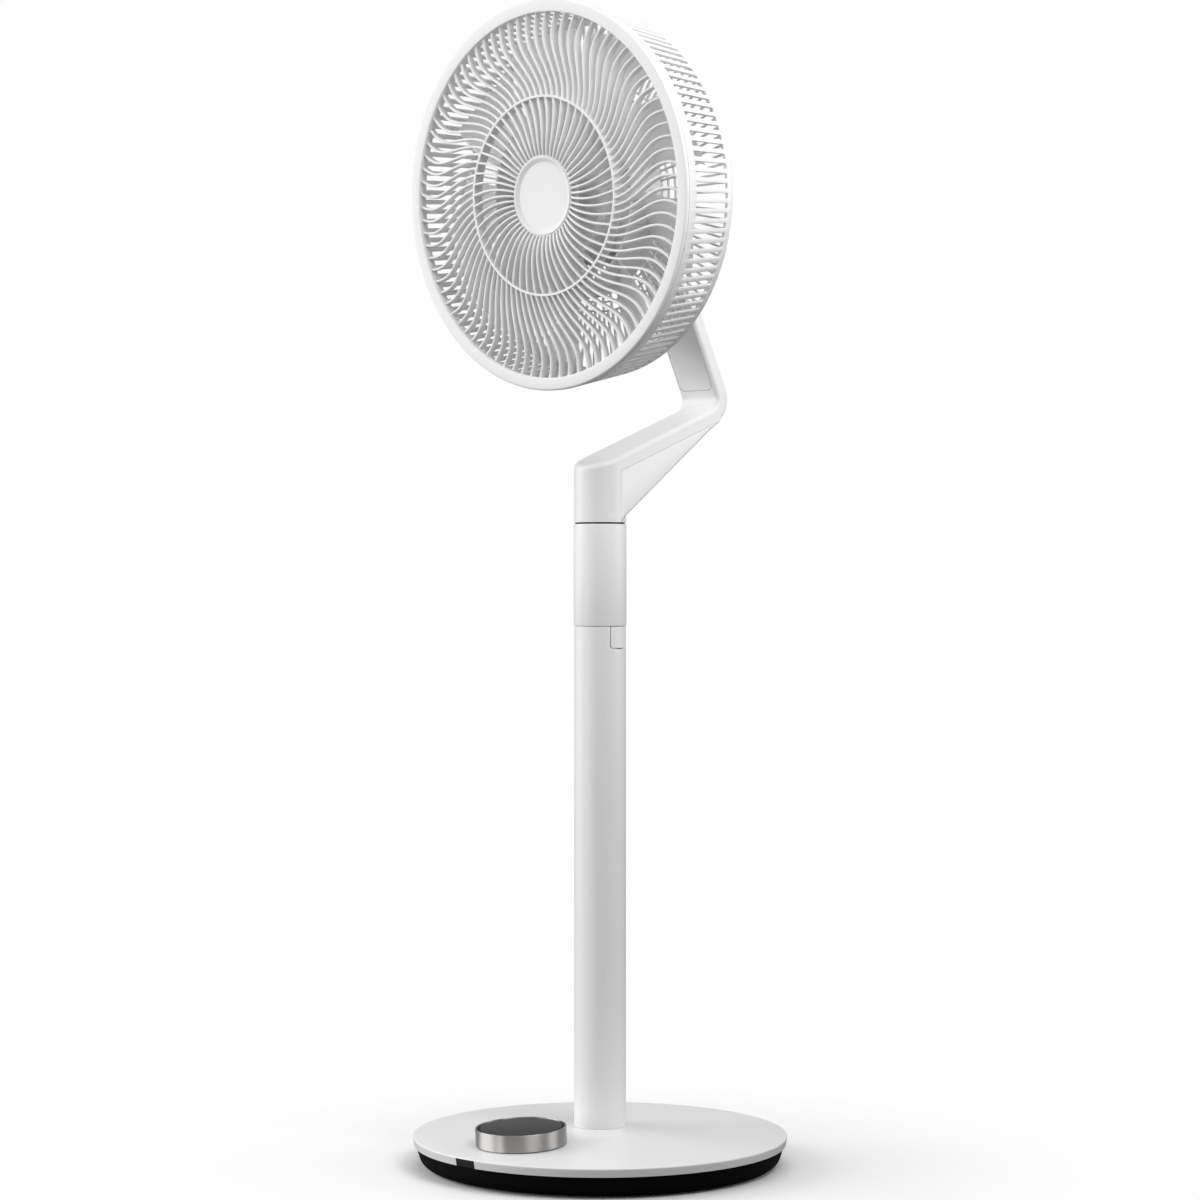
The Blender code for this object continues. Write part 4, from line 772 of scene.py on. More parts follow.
@dataclass
class Knob(Assembly):
    """The control knob: a brushed ring round a black glass top."""

    distance: float = 0.100
    slope: float = 0.0074 / 0.1455
    foot_height: float = 0.03150
    radius: float = 0.0405
    lift: float = 0.0008
    height: float = 0.0150
    wall: float = 0.0036
    lip: float = 0.0017
    step: float = 0.0030
    groove: float = 0.0014
    trim_height: float = 0.0013
    glass_inset: float = 0.0003
    glass_thickness: float = 0.002
    gap: float = 0.0001
    steps_round: int = 128

    def place(self) -> Matrix:
        """Where the knob's foot stands on the sloping cover."""
        return Matrix.Translation((0.0, -self.distance, self.foot_height)) @ Matrix.Rotation(
            math.atan(self.slope), 4, "X")

    def ring(self) -> Piece:
        """The ring: straight sides, a rounded top edge, a thin lip and a step inside it.

        Returns:
            The piece.
        """
        inside, lip, top = self.radius - self.wall, self.radius - self.lip, self.lift + self.height
        corners = [(self.radius, top, 0.0006), (self.radius, self.lift, 0.0003), (inside, self.lift, 0.0),
                   (inside, top - self.step, 0.0), (lip, top - self.step, 0.0), (lip, top, 0.0005)]
        return lathe("fan_knob_ring", corners, self.steps_round, self.place(), 5, sharp=28.0)

    def trim(self) -> Piece:
        """The black ring at the bottom of the groove between the lip and the glass.

        Returns:
            The piece.
        """
        top = self.lift + self.height - self.groove
        corners = oblong(self.radius - self.wall + self.gap, self.radius - self.lip - self.gap, top,
                         top - self.trim_height, 0.0, 0.0)
        return lathe("fan_knob_trim", corners, self.steps_round, self.place())

    def glass(self) -> Piece:
        """The top: a flat pane with a rounded edge inside the groove.

        Returns:
            The piece.
        """
        radius = self.radius - self.wall - self.gap
        top = self.lift + self.height - self.glass_inset
        low = top - self.glass_thickness
        corners = [(0.0, top, 0.0), (radius, top, 0.0006), (radius, low, 0.0), (0.0, low, 0.0)]
        return lathe("fan_knob_glass", corners, self.steps_round, self.place(), 5, False)

    def build(self) -> None:
        """Make and settle the knob's pieces."""
        self.settle(self.ring(), Body.KNOB, Slot.BRUSHED, "knob_ring")
        self.settle(self.trim(), Body.KNOB, Slot.BLACK)
        self.settle(self.glass(), Body.KNOB, Slot.GLASS, "knob_glass")


@dataclass
class Pole(Assembly):
    """The lower pole, its release button, the upper sleeve and a black ring that paints the shade in the neck's seam.
    """

    radius: float = 0.0235
    wall: float = 0.0020
    bottom: float = 0.0159
    top: float = 0.4885
    button_half: float = 0.0085
    button_height: float = 0.0195
    corner: float = 0.0023
    gap: float = 0.0008
    border: float = 0.0012
    sleeve_radius: float = 0.0240
    sleeve_top: float = 0.5811
    sleeve_wall: float = 0.0022
    sleeve_floor: float = 0.006
    shaft_hole: float = 0.006
    spigot: float = 0.048
    seam: float = 0.0005
    steps_round: int = 96

    def notch_angles(self, half: float) -> np.ndarray:
        """Angles from +X of points across an outline of half this width, closer at its corners.

        Returns:
            The angles, from one side to the other.
        """
        near = [0.87, 0.94, 0.985, 1.0]
        share = np.concatenate((-np.array(near[::-1]), np.linspace(-0.8, 0.8, 9), near))
        return np.arcsin(share * half / self.radius)

    def notch_height(self, angle: np.ndarray, half: float, low: float, corner: float) -> np.ndarray:
        """Height of the button's lower outline at an angle from +X.

        It is flat, and within the corner's radius of each side it rises on a quarter circle:
        low + corner - sqrt(corner^2 - d^2), where d is how far the point is into the corner.

        Args:
            angle: Angles from +X.
            half: Half the outline's width.
            low: Its lowest height.
            corner: Radius of its lower corners.

        Returns:
            The height at each angle.
        """
        into = np.clip(np.abs(self.radius * np.sin(angle)) - (half - corner), 0.0, corner)
        return low + corner - np.sqrt(np.maximum(corner ** 2 - into ** 2, 0.0))

    def tube(self, name: str, angle: np.ndarray, levels: list[np.ndarray], whole: bool) -> Piece:
        """A curved wall whose heights may change round the pole, with rounded edges.

        Args:
            name: The piece's name.
            angle: Angles from +X.
            levels: Heights of the wall's points at each angle, from the top down.
            whole: True where the wall goes all the way round.

        Returns:
            The piece.
        """
        radius = np.repeat((self.radius, self.radius - self.wall), len(levels))
        points = polar(radius, angle[:, None], np.array([*levels, *levels[::-1]]).T)[..., [1, 0, 2]]
        grid = Grid(points, round_rows=whole, round_columns=True, caps=not whole)
        return rounded_edges(skin(name, [grid], sharp=50.0), 0.0003, 2, 50.0, harden=False)

    def lower(self) -> Piece:
        """The lower pole with the button's notch in its top.

        Returns:
            The piece.
        """
        half_width = self.button_half + self.gap
        half = math.asin(half_width / self.radius)
        notch = self.notch_angles(half_width)
        rest = np.linspace(half, math.tau - half, 81)
        floor = self.notch_height(notch, half_width, self.top - self.button_height - self.gap, self.corner + self.gap)
        level, shelf = np.ones(len(rest)), floor[0]
        below = self.top - self.border * level
        below[[0, -1]] = shelf
        angle = np.concatenate((notch, rest))
        at_shelf = np.concatenate((floor, shelf * level))
        foot = np.full(len(angle), self.bottom)
        levels = [np.concatenate((floor, self.top * level)), np.concatenate((floor, below)), at_shelf,
                  at_shelf - self.border, np.full(len(angle), self.bottom + self.border), foot]
        return self.tube("fan_lower_pole", angle, levels, True)

    def button(self) -> Piece:
        """The release button: a curved plate that fills the notch.

        Returns:
            The piece.
        """
        angle = self.notch_angles(self.button_half)
        low = self.notch_height(angle, self.button_half, self.top - self.button_height, self.corner)
        high = np.full(len(angle), self.top)
        under = np.full(len(angle), self.top - self.border)
        return self.tube("fan_release_button", angle, [high, under, low + self.border, low], False)

    def sleeve(self) -> Piece:
        """The upper sleeve with its floor and the spigot that goes down into the pole.

        Returns:
            The piece.
        """
        inside, low = self.sleeve_radius - self.sleeve_wall, self.top + self.seam
        outer, inner = self.radius - self.wall - 0.0003, self.radius - self.wall - 0.0033
        end, floor = self.top - self.spigot, self.top + self.seam + self.sleeve_floor
        sleeve = lathe("fan_upper_sleeve", [
            (inside, self.sleeve_top, 0.0), (self.sleeve_radius, self.sleeve_top, 0.0004),
            (self.sleeve_radius, low, 0.0004), (outer, low, 0.0), (outer, end, 0.0004), (inner, end, 0.0004),
            (inner, low, 0.0), (self.shaft_hole, low, 0.0), (self.shaft_hole, floor, 0.0),
            (inside, floor, 0.0)], self.steps_round, steps=3)
        half = self.button_half + 0.0016
        notch = block("spigot_notch", (0.006, -half, self.top - 0.052), (0.024, half, self.top + 0.0004))
        return shade(carve(sleeve, notch), 35.0)

    def seam_shade_ring(self) -> Piece:
        """A black ring in the seam under the neck: painted shade that darkens the gap.

        Returns:
            The piece.
        """
        # painted shade: a black ring that darkens the seam's gap
        corners = oblong(self.sleeve_radius - 0.0032, self.sleeve_radius - 0.0014, self.sleeve_top + 0.0001,
                         self.sleeve_top + 0.0011, 0.0, 0.0002)
        return lathe("fan_seam_shade_ring", corners, self.steps_round, steps=2)

    def build(self) -> None:
        """Make and settle the pole's pieces."""
        # the black ring in the seam under the neck is painted shade
        self.settle(self.seam_shade_ring(), Body.STAND, Slot.BLACK)
        self.settle(self.lower(), Body.STAND, Slot.WHITE, "lower_pole")
        self.settle(self.button(), Body.BUTTON, Slot.WHITE, "release_button")
        self.settle(self.sleeve(), Body.STAND, Slot.WHITE, "upper_sleeve")


@dataclass
class Neck(Assembly):
    """The neck: arm, gusset cover, arm cover and the tilt pin's caps."""

    radius: float = 0.0236
    bottom: float = 0.5826
    front_top: float = 0.6327
    bar_slope: float = 20.4
    bar_depth: float = 0.0128
    split: float = 0.003
    lean: float = 26.6
    thickness: float = 0.0148
    gusset_start: tuple[float, float] = (0.008, 0.586)
    gusset_slope: float = 35.6
    fork_radius: float = 0.0115
    fork_root: float = 0.017
    fork_half_gap: float = 0.0121
    edge: float = 0.0040
    gusset_edge: float = 0.0036
    core: float = 0.020
    panel_half: float = 0.0200
    panel_start: float = 0.190
    panel_end: float = 0.040
    panel_corner: float = 0.006

    def along(self) -> Vector:
        """Unit vector down the upper arm, in Y and Z."""
        return Vector((math.sin(math.radians(self.lean)), -math.cos(math.radians(self.lean))))

    def outward(self) -> Vector:
        """Unit vector out of the upper arm's front face, in Y and Z."""
        return Vector((-math.cos(math.radians(self.lean)), -math.sin(math.radians(self.lean))))

    @staticmethod
    def rising(degrees: float) -> Vector:
        """Unit vector rising backwards at an angle, in Y and Z."""
        return Vector((math.cos(math.radians(degrees)), math.sin(math.radians(degrees))))

    @staticmethod
    def meet(first: Vector, first_way: Vector, second: Vector, second_way: Vector) -> Vector:
        """The point where two lines in the plane meet.

        Args:
            first: A point of the first line.
            first_way: The first line's direction.
            second: A point of the second line.
            second_way: The second line's direction.

        Returns:
            The point.
        """
        apart = second - first
        across = first_way.x * second_way.y - first_way.y * second_way.x
        return first + first_way * ((apart.x * second_way.y - apart.y * second_way.x) / across)

    def corners(self) -> dict[str, Vector]:
        """The corners of the side view, where its straight edges meet.

        Returns:
            Each corner's name and its place in Y and Z.
        """
        pivot = TILT_POINT.yz
        front = pivot + self.outward() * self.thickness / 2
        back = pivot - self.outward() * self.thickness / 2
        bar, under = self.rising(self.bar_slope), self.rising(self.gusset_slope)
        top = Vector((-self.radius, self.front_top))
        seam = top + Vector((bar.y, -bar.x)) * self.bar_depth
        gusset, upright, split = Vector(self.gusset_start), Vector((0.0, 1.0)), Vector((self.split, 0.0))
        return {
            "top_front": top,
            "inner": self.meet(top, bar, front, self.along()),
            "outer": self.meet(gusset, under, back, self.along()),
            "seam_front": self.meet(seam, bar, split, upright),
            "seam_rear": self.meet(seam, bar, gusset, under),
            "gusset_front": self.meet(gusset, under, split, upright),
        }

    def arm(self) -> Piece:
        """The neck arm: a round-fronted column, the bar, the elbow and the upper arm with its fork.

        The side outline behind the column's middle is drawn across the width. The column's front
        is a half cylinder that rises to the bar's sloping top. All outer edges are rounded.

        Returns:
            The piece.
        """
        spots = self.corners()
        half = self.thickness / 2
        reach = math.sqrt(self.fork_radius ** 2 - half ** 2)
        start = self.along() * reach - self.outward() * half
        end = self.along() * reach + self.outward() * half
        turn = math.copysign(math.tau - start.angle(end), -(start.x * end.y - start.y * end.x))
        tip = [TILT_POINT.yz + Matrix.Rotation(turn * step / 24, 2) @ start for step in range(25)]
        slope = math.tan(math.radians(self.bar_slope))
        middle_top = Vector((0.0, spots["top_front"].y + self.radius * slope))
        elbow = fillet([(*spots["seam_rear"], 0.0), (*spots["outer"], 0.024), (*tip[0], 0.0)], 14, closed=False)
        inner = fillet([(*tip[-1], 0.0), (*spots["inner"], 0.010), (*middle_top, 0.0)], 12, closed=False)
        side = np.vstack((
            [(0.0, self.bottom), (self.split, self.bottom), tuple(spots["seam_front"])],
            elbow, np.array([tuple(point) for point in tip[1:-1]]), inner))
        strip = np.stack([np.column_stack((np.full(len(side), x), side)) for x in (-self.radius, self.radius)])
        front = arc(self.radius, math.pi, math.tau, 37)
        column = np.stack([np.column_stack((front, height)) for height in (
            np.full(len(front), self.bottom), middle_top.y + front[:, 1] * slope)])
        top = np.vstack((column[1], strip[::-1, -2]))
        piece = skin("fan_neck_arm", [
            Grid(strip[:, :-1]), Grid(column), Sheet(strip[0]), Sheet(strip[1]), Sheet(top), Sheet(column[0])])
        self.round_rim(piece, spots["seam_front"])
        carve(piece, rod("neck_core", self.core, self.bottom, spots["seam_front"].y + 0.002, 64), "UNION")
        carve(piece, self.fork_gap())
        carve(piece, self.cover_panel("arm_cover_pocket", 0.0004, 0.0, 0.0022, 0.0))
        shade(piece, GENTLE)
        flats = piece.modifiers.new("Flat faces stay flat", "WEIGHTED_NORMAL")
        flats.keep_sharp = True
        return bake(piece)

    def round_rim(self, piece: Piece, seam: Vector) -> None:
        """Round the arm's outer edges, and leave those along the gusset and at the foot crisp.

        An edge counts where its middle is above the seam's line and its two faces turn by more
        than 35 degrees, which is where the product of their normals is under the angle's cosine.

        Args:
            piece: The arm before its core is joined on.
            seam: The front end of the gusset's seam, in Y and Z.
        """
        mesh = piece.data
        bar = self.rising(self.bar_slope)
        ends = array_of(mesh.edges, "vertices", 2, int)
        middle = array_of(mesh.vertices, "co", 3)[ends].mean(axis=1)
        above = (middle[:, 1:] - np.array(seam)) @ np.array((-bar.y, bar.x))
        sizes = array_of(mesh.polygons, "loop_total", 1, int)[:, 0]
        normals = np.repeat(array_of(mesh.polygons, "normal", 3), sizes, axis=0)
        order = np.argsort(array_of(mesh.loops, "edge_index", 1, int)[:, 0], kind="stable")
        pairs = normals[order].reshape(-1, 2, 3)
        bent = (pairs[:, 0] * pairs[:, 1]).sum(axis=1) <= math.cos(math.radians(35.0))
        rounded = (above > 0.0005) & (middle[:, 2] >= self.bottom + 0.02) & bent
        weights = mesh.attributes.new("bevel_weight_edge", "FLOAT", "EDGE")
        weights.data.foreach_set("value", rounded.astype(float))
        bevel = piece.modifiers.new("Rounding", "BEVEL")
        bevel.width = self.edge
        bevel.segments = 6
        bevel.limit_method = "WEIGHT"
        bevel.use_clamp_overlap = False
        bake(piece)

    def fork_gap(self) -> Piece:
        """The cutter of the gap between the fork's cheeks.

        Returns:
            The piece.
        """
        reach, side = 2 * self.fork_radius, self.fork_half_gap
        place = Matrix.Translation(TILT_POINT) @ Matrix.Rotation(math.radians(self.lean), 4, "X")
        return block("fork_gap", (-side, -reach, -self.fork_root), (side, reach, reach), place)

    def cover_panel(self, name: str, grow: float, low: float, high: float, bevel: float) -> Piece:
        """A rounded panel on the upper arm's front face.

        Args:
            name: The piece's name.
            grow: How much larger than the cover it is, all round.
            low: Depth of its outer face below the arm's face.
            high: Depth of its inner face.
            bevel: Width of its rounded edges.

        Returns:
            The piece.
        """
        half_width, corner = self.panel_half + grow, self.panel_corner + grow
        start, end = self.panel_start + grow, self.panel_end - grow
        half = (start - end) / 2
        outline = fillet(oblong(-half_width, half_width, -half, half, corner, corner), steps=8)
        middle = TILT_POINT.yz + self.along() * (start + end) / 2 + self.outward() * self.thickness / 2
        place = Matrix.Translation((0.0, *middle)) @ Matrix.Rotation(math.radians(90.0 + self.lean), 4, "X")
        reach = 0.001 if bevel == 0.0 else 0.0
        return skin(name, [prism(outline, -high, -low + reach)], place, bevel=bevel)

    def gusset(self) -> Piece:
        """The gusset cover: flat sides under the bar, rounded below, and a round foot on the sleeve.

        Behind the seam, each upright section runs from the bar's seam down both sides. Its lower
        corners are quarter circles, and they shrink with the section towards the rear tip.

        Returns:
            The piece.
        """
        spots = self.corners()
        slope = math.radians(self.bar_slope)
        front = self.split + 0.0003
        rear = spots["seam_rear"].x - 0.0015 * math.cos(slope)
        along = np.linspace(front, rear, 33)[:, None]
        top = spots["seam_front"].y + (along - self.split) * math.tan(slope) - 0.0003 / math.cos(slope)
        low = spots["gusset_front"].y + (along - self.split) * math.tan(math.radians(self.gusset_slope))
        corner = np.minimum(self.gusset_edge, 0.8 * (top - low))
        turn = np.linspace(0.0, math.pi / 2, 7)
        side = np.hstack((np.full_like(along, self.radius), self.radius - corner * (1.0 - np.cos(turn))))
        down = np.hstack((top, low + corner * (1.0 - np.sin(turn))))
        section = np.hstack((side, -side[:, ::-1]))
        points = np.stack((section, np.broadcast_to(along, section.shape), np.hstack((down, down[:, ::-1]))), axis=-1)
        wedge = skin("fan_gusset_cover", [Grid(points, round_columns=True, caps=True)])
        foot = arc(self.radius, 0.0, math.pi, 37)
        foot = np.vstack((foot[foot[:, 1] > front], [(-self.radius, front)], [(self.radius, front)]))
        carve(wedge, skin("gusset_foot", [prism(foot, self.bottom, spots["seam_front"].y - 0.0128)]), "UNION")
        carve(wedge, rod("gusset_core", self.core + 0.0003, self.bottom - 0.001, 0.66, 64))
        return rounded_edges(wedge, 0.0003, 3, 40.0)

    def pin_cap(self, name: str, side: int) -> Piece:
        """A round cap on the tilt pin's end, flush with the fork.

        Args:
            name: The piece's name.
            side: -1 for the left end and 1 for the right.

        Returns:
            The piece.
        """
        corners = [(0.0, 0.0232, 0.0), (0.0034, 0.0234, 0.0006), (0.0051, 0.0230, 0.0006), (0.0051, 0.0224, 0.0),
                   (0.0, 0.0224, 0.0)]
        place = Matrix.Translation(TILT_POINT) @ Matrix.Rotation(side * math.pi / 2, 4, "Y")
        return lathe(name, corners, 48, place, 4, False)

    def build(self) -> None:
        """Make and settle the neck's pieces."""
        self.settle(self.arm(), Body.NECK, Slot.WHITE, "neck_arm")
        self.settle(self.cover_panel("fan_arm_cover", 0.0, 0.0, 0.0018, 0.0005), Body.NECK, Slot.WHITE, "arm_cover")
        self.settle(self.gusset(), Body.NECK, Slot.WHITE, "gusset_cover")
        self.settle(self.pin_cap("fan_pin_cap_left", -1), Body.NECK, Slot.WHITE)
        self.settle(self.pin_cap("fan_pin_cap_right", 1), Body.NECK, Slot.WHITE)


@dataclass(frozen=True)
class RibSet:
    """A ring of S-shaped ribs.

    Each station is (radius, lean clockwise from the top in degrees, crown ahead of the bezel).
    """

    count: int
    stations: tuple[tuple[float, float, float], ...]
    steps: int = 14

    def path(self) -> tuple[np.ndarray, np.ndarray, np.ndarray]:
        """Radius, lean in radians and crown along a rib.

        The lean and the crown are polynomials through the stations, so the rib has no kinks.

        Returns:
            Three arrays along the rib.
        """
        radius, lean, crown = (np.array(column) for column in zip(*self.stations))
        along = np.linspace(radius[0], radius[-1], self.steps)
        middle = (radius - radius.mean()) / np.ptp(radius)
        at = (along - radius.mean()) / np.ptp(radius)
        lean_fit = np.polyval(np.polyfit(middle, lean, 5), at)
        crown_fit = np.polyval(np.polyfit(middle, crown, 4), at)
        return along, np.radians(lean_fit), crown_fit

    def grid(self, face: float, depth: float, width: float) -> Grid:
        """The ribs as bars.

        At radius r a rib's middle is at the lean's angle. A point of the section at w across lies
        w sqrt(1 + (r dlean/dr)^2) along the circle from it, and d below the crowned face.

        Args:
            face: Height of the bezel's face.
            depth: Depth of a rib.
            width: Width of a rib across its own direction.

        Returns:
            All the ribs as one batch.
        """
        radius, lean, crown = self.path()
        slant = np.sqrt(1.0 + (radius * np.gradient(lean, radius)) ** 2)
        half = width / 2
        across = np.array([-0.76, -1.0, -0.9, -0.55, 0.0, 0.55, 0.9, 1.0, 0.76]) * half
        down = np.array([depth / half, 1.0, 0.45, 0.12, 0.0, 0.12, 0.45, 1.0, depth / half]) * half
        turn = np.arange(self.count) * math.tau / self.count
        angle = turn[:, None, None] + (lean[:, None] + across[None] * (slant / radius)[:, None])[None]
        height = np.where(down > half * 1.1, face - depth + crown[:, None], face + crown[:, None] - down)
        return Grid(polar(radius[:, None], angle, height), round_columns=True, caps=True)


@dataclass
class Guard(Assembly):
    """The head's guard: front grille, hub cap and slotted rear guard."""

    face: float = 0.1255
    rim_radius: float = 0.1728
    bezel_inner: float = 0.1615
    strip: float = 0.0036
    web_depth: float = 0.009
    rib_depth: float = 0.0062
    mid_ring: float = 0.0891
    mid_width: float = 0.0024
    hub: float = 0.0363
    rear_face: float = 0.0532
    rear_radius: float = 0.1626
    wall: float = 0.0025
    slots: int = 120
    slot_width: float = 0.0046
    slot_corner: float = 0.0010
    slot_front: float = 0.0144
    slot_rear: float = 0.0632
    notch_angle: float = 110.0

    def front(self) -> Piece:
        """The front grille: bezel, mid ring, hub and the two rings of ribs.

        Returns:
            The piece.
        """
        outer = RibSet(85, (
            (0.0885, 11.5, 0.0014), (0.0952, 9.94, 0.0007), (0.1061, 7.10, 0.0001), (0.1170, 3.79, 0.0),
            (0.1278, 0.95, -0.0001), (0.1360, -0.60, -0.0005), (0.1450, -1.05, -0.0014), (0.1540, -0.85, -0.0021),
            (0.1620, 0.10, -0.0022)))
        inner = RibSet(55, (
            (0.0358, 5.25, 0.0009), (0.0408, 5.73, 0.0026), (0.0490, 5.85, 0.0036), (0.0571, 5.19, 0.0036),
            (0.0680, 3.64, 0.0032), (0.0789, 1.56, 0.0022), (0.0876, -0.10, 0.0013)))
        ring_front = self.face + 0.0014
        back = self.face - self.web_depth
        bezel = fillet([
            (self.bezel_inner, self.face, 0.0009), (self.rim_radius, self.face, 0.0017),
            (self.rim_radius, self.face - self.strip, 0.0003), (self.bezel_inner + 0.002, self.face - self.strip, 0.0),
            (self.bezel_inner + 0.002, back, 0.0004), (self.bezel_inner, back, 0.0004)], steps=5)
        middle = fillet([
            (self.mid_ring - self.mid_width, ring_front, 0.0005), (self.mid_ring, ring_front, 0.0005),
            (self.mid_ring, back, 0.0004), (self.mid_ring - self.mid_width, back, 0.0004)], steps=3)
        hub = fillet([
            (0.0, self.face - 0.0033, 0.0), (0.0351, self.face - 0.0033, 0.0), (0.0351, self.face + 0.0008, 0.0003),
            (self.hub, self.face + 0.0008, 0.0005), (self.hub, back, 0.0006), (0.0, back, 0.0)], closed=False, steps=4)
        grids = [
            turn_profile(bezel, 216), turn_profile(middle, 180), turn_profile(hub, 120, closed=False),
            outer.grid(self.face, self.rib_depth, 0.0024), inner.grid(self.face, self.rib_depth + 0.0008, 0.0022)]
        return skin("fan_front_grille", grids, HEAD_PLACE, sharp=45.0)

    def hub_cap(self) -> Piece:
        """The hub cap: a rim, a short cone and a flat dish.

        Returns:
            The piece.
        """
        top = self.face + 0.0014
        profile = fillet([
            (0.0, top - 0.0020, 0.0), (0.0300, top - 0.0020, 0.0016), (0.0336, top, 0.0006), (0.0350, top, 0.0006),
            (0.0350, top - 0.0030, 0.0), (0.0, top - 0.0030, 0.0)], closed=False, steps=5)
        return skin("fan_hub_cap", [turn_profile(profile, 128, closed=False)], HEAD_PLACE)

    def wall_radius(self, height: np.ndarray) -> np.ndarray:
        """Outer radius of the tapered wall at a height in the head's frame.

        Returns:
            The radius at each height.
        """
        low = self.rear_face + 0.003
        share = (height - low) / (self.face - self.strip - 0.0003 - low)
        return self.rear_radius + share * (self.rim_radius - self.rear_radius)

    def slotted_wall(self) -> list[Grid]:
        """The tapered wall with its slots.

        Each slot has a cell of the wall. Rings of points run from the cell's border to the slot's
        edge on the outer face, over a small rounding into the slot, through the wall, and out to
        the border again on the inner face. The slot's outline is a rectangle with its corners
        turned by quarter circles.

        Returns:
            The cells and the two rims that close the wall.
        """
        low, high = self.rear_face + 0.0036, self.face - self.strip - 0.0003
        slot_low, slot_high = self.face - self.slot_rear, self.face - self.slot_front
        half, cell = self.slot_width / 2, math.pi / self.slots
        corner = self.slot_corner
        bend = np.radians([0.0, 30.0, 60.0, 90.0, 90.0, 90.0, 120.0, 150.0, 180.0])
        straight = (half - corner) * np.array([1.0, 1.0, 1.0, 1.0, 0.0, -1.0, -1.0, -1.0, -1.0])
        side = np.array([1.0, 1.0, 1.0, 0.5, 0.0, -0.5, -1.0, -1.0, -1.0])
        up = np.array([0.0, 0.5, 1.0, 1.0, 1.0, 1.0, 1.0, 0.5, 0.0])
        top_start, low_start = slot_high - corner, slot_low + corner
        border_side = np.concatenate((side, -side)) * cell
        border_height = np.concatenate((top_start + up * (high - top_start), low_start - up * (low_start - low)))
        bend = np.concatenate((bend, bend + math.pi))
        straight = np.concatenate((straight, -straight))
        centre = np.repeat((top_start, low_start), 9)
        rings = []
        edge = 0.0004
        for grow, depth in ((edge, 0.0), (edge * 0.3, edge * 0.3), (0.0, edge), (0.0, self.wall - edge),
                            (edge * 0.3, self.wall - edge * 0.3), (edge, self.wall)):
            height = centre + (corner + grow) * np.sin(bend)
            radius = self.wall_radius(height)
            rings.append(((straight + (corner + grow) * np.cos(bend)) / radius, height, radius - depth))
        border = self.wall_radius(border_height)
        rings.insert(0, (border_side, border_height, border))
        rings.append((border_side, border_height, border - self.wall))
        angle, height, radius = (np.array(values) for values in zip(*rings))
        turn = (np.arange(self.slots) + 0.5) * 2 * cell
        angle = turn[:, None, None] + angle[None]
        cells = Grid(polar(radius, angle, height), round_columns=True)
        around = np.arange(self.slots * 4) * cell / 2
        rims = []
        for level in (low, high):
            radii = np.array([self.wall_radius(level), self.wall_radius(level) - self.wall])[:, None]
            rims.append(Grid(polar(radii, around, np.array(level)), round_columns=True))
        return [cells, *rims]

    def drum(self) -> Piece:
        """The rear guard's slotted side wall, with the small notch in its front edge.

        Returns:
            The piece.
        """
        wall = skin("fan_guard_wall", self.slotted_wall(), HEAD_PLACE, sharp=40.0)
        high = self.face - self.strip - 0.0003
        turn = Matrix.Rotation(math.radians(-self.notch_angle), 4, "Z")
        low_corner, high_corner = (-0.0015, 0.160, high - 0.0011), (0.0015, 0.180, high + 0.001)
        carve(wall, block("guard_notch", low_corner, high_corner, HEAD_PLACE @ turn))
        return shade(wall, 40.0)

    def back(self) -> Piece:
        """The rear guard's back: a rounded corner, rings, radial bars and a plate at the motor.

        Returns:
            The piece.
        """
        rear, front = self.rear_face, self.rear_face + self.wall
        corner = fillet([
            (self.wall_radius(np.array(rear + 0.0036)), rear + 0.0036, 0.0), (self.rear_radius - 0.0006, rear, 0.003),
            (0.1545, rear, 0.0005), (0.1545, front, 0.0005), (self.rear_radius - 0.0032, front, 0.0006),
            (self.wall_radius(np.array(rear + 0.0036)) - self.wall, rear + 0.0036, 0.0)], steps=6)
        plate = fillet(oblong(0.0203, 0.0625, rear, front, 0.0003, 0.0006), steps=3)
        grids = [turn_profile(corner, 240), turn_profile(plate, 160)]
        for radius in np.arange(0.0702, 0.1100, 0.0082):
            corners = oblong(radius - 0.0008, radius + 0.0008, rear, front - 0.0003, 0.0005, 0.0005)
            grids.append(turned(corners, 180, 2))
        grids.append(self.bars(120, 0.1030, 0.1550, rear, front))
        grids.append(self.bars(60, 0.0620, 0.1034, rear, front))
        return skin("fan_guard_back", grids, HEAD_PLACE, sharp=40.0)

    @staticmethod
    def bars(count: int, near: float, far: float, low: float, high: float) -> Grid:
        """Straight radial bars with rounded corners.

        Args:
            count: Number of bars.
            near: Radius of their inner ends.
            far: Radius of their outer ends.
            low: Height of their rear.
            high: Height of their front.

        Returns:
            The bars as one batch.
        """
        section = fillet(oblong(-0.0009, 0.0009, low, high, 0.0005, 0.0005), steps=2)
        radius = np.array([near, far])[None, :, None]
        turn = (np.arange(count) * math.tau / count)[:, None, None]
        angle = turn + section[:, 0][None, None] / radius
        return Grid(polar(radius, angle, section[:, 1]), round_columns=True, caps=True)

    def lock_screw(self) -> Piece:
        """The small screw under the seam that locks the grille to the guard.

        Returns:
            The piece.
        """
        profile = fillet([
            (0.0, 0.0006, 0.0), (0.0016, 0.0006, 0.0004), (0.0022, -0.0002, 0.0003), (0.0022, -0.0016, 0.0),
            (0.0, -0.0016, 0.0)], closed=False, steps=3)
        height = self.face - self.strip - 0.0060
        radius = float(self.wall_radius(np.array(height)))
        place = HEAD_PLACE @ Matrix.Translation((0.0, -radius, height)) @ Matrix.Rotation(math.pi / 2, 4, "X")
        return skin("fan_lock_screw", [turn_profile(profile, 28, closed=False)], place)

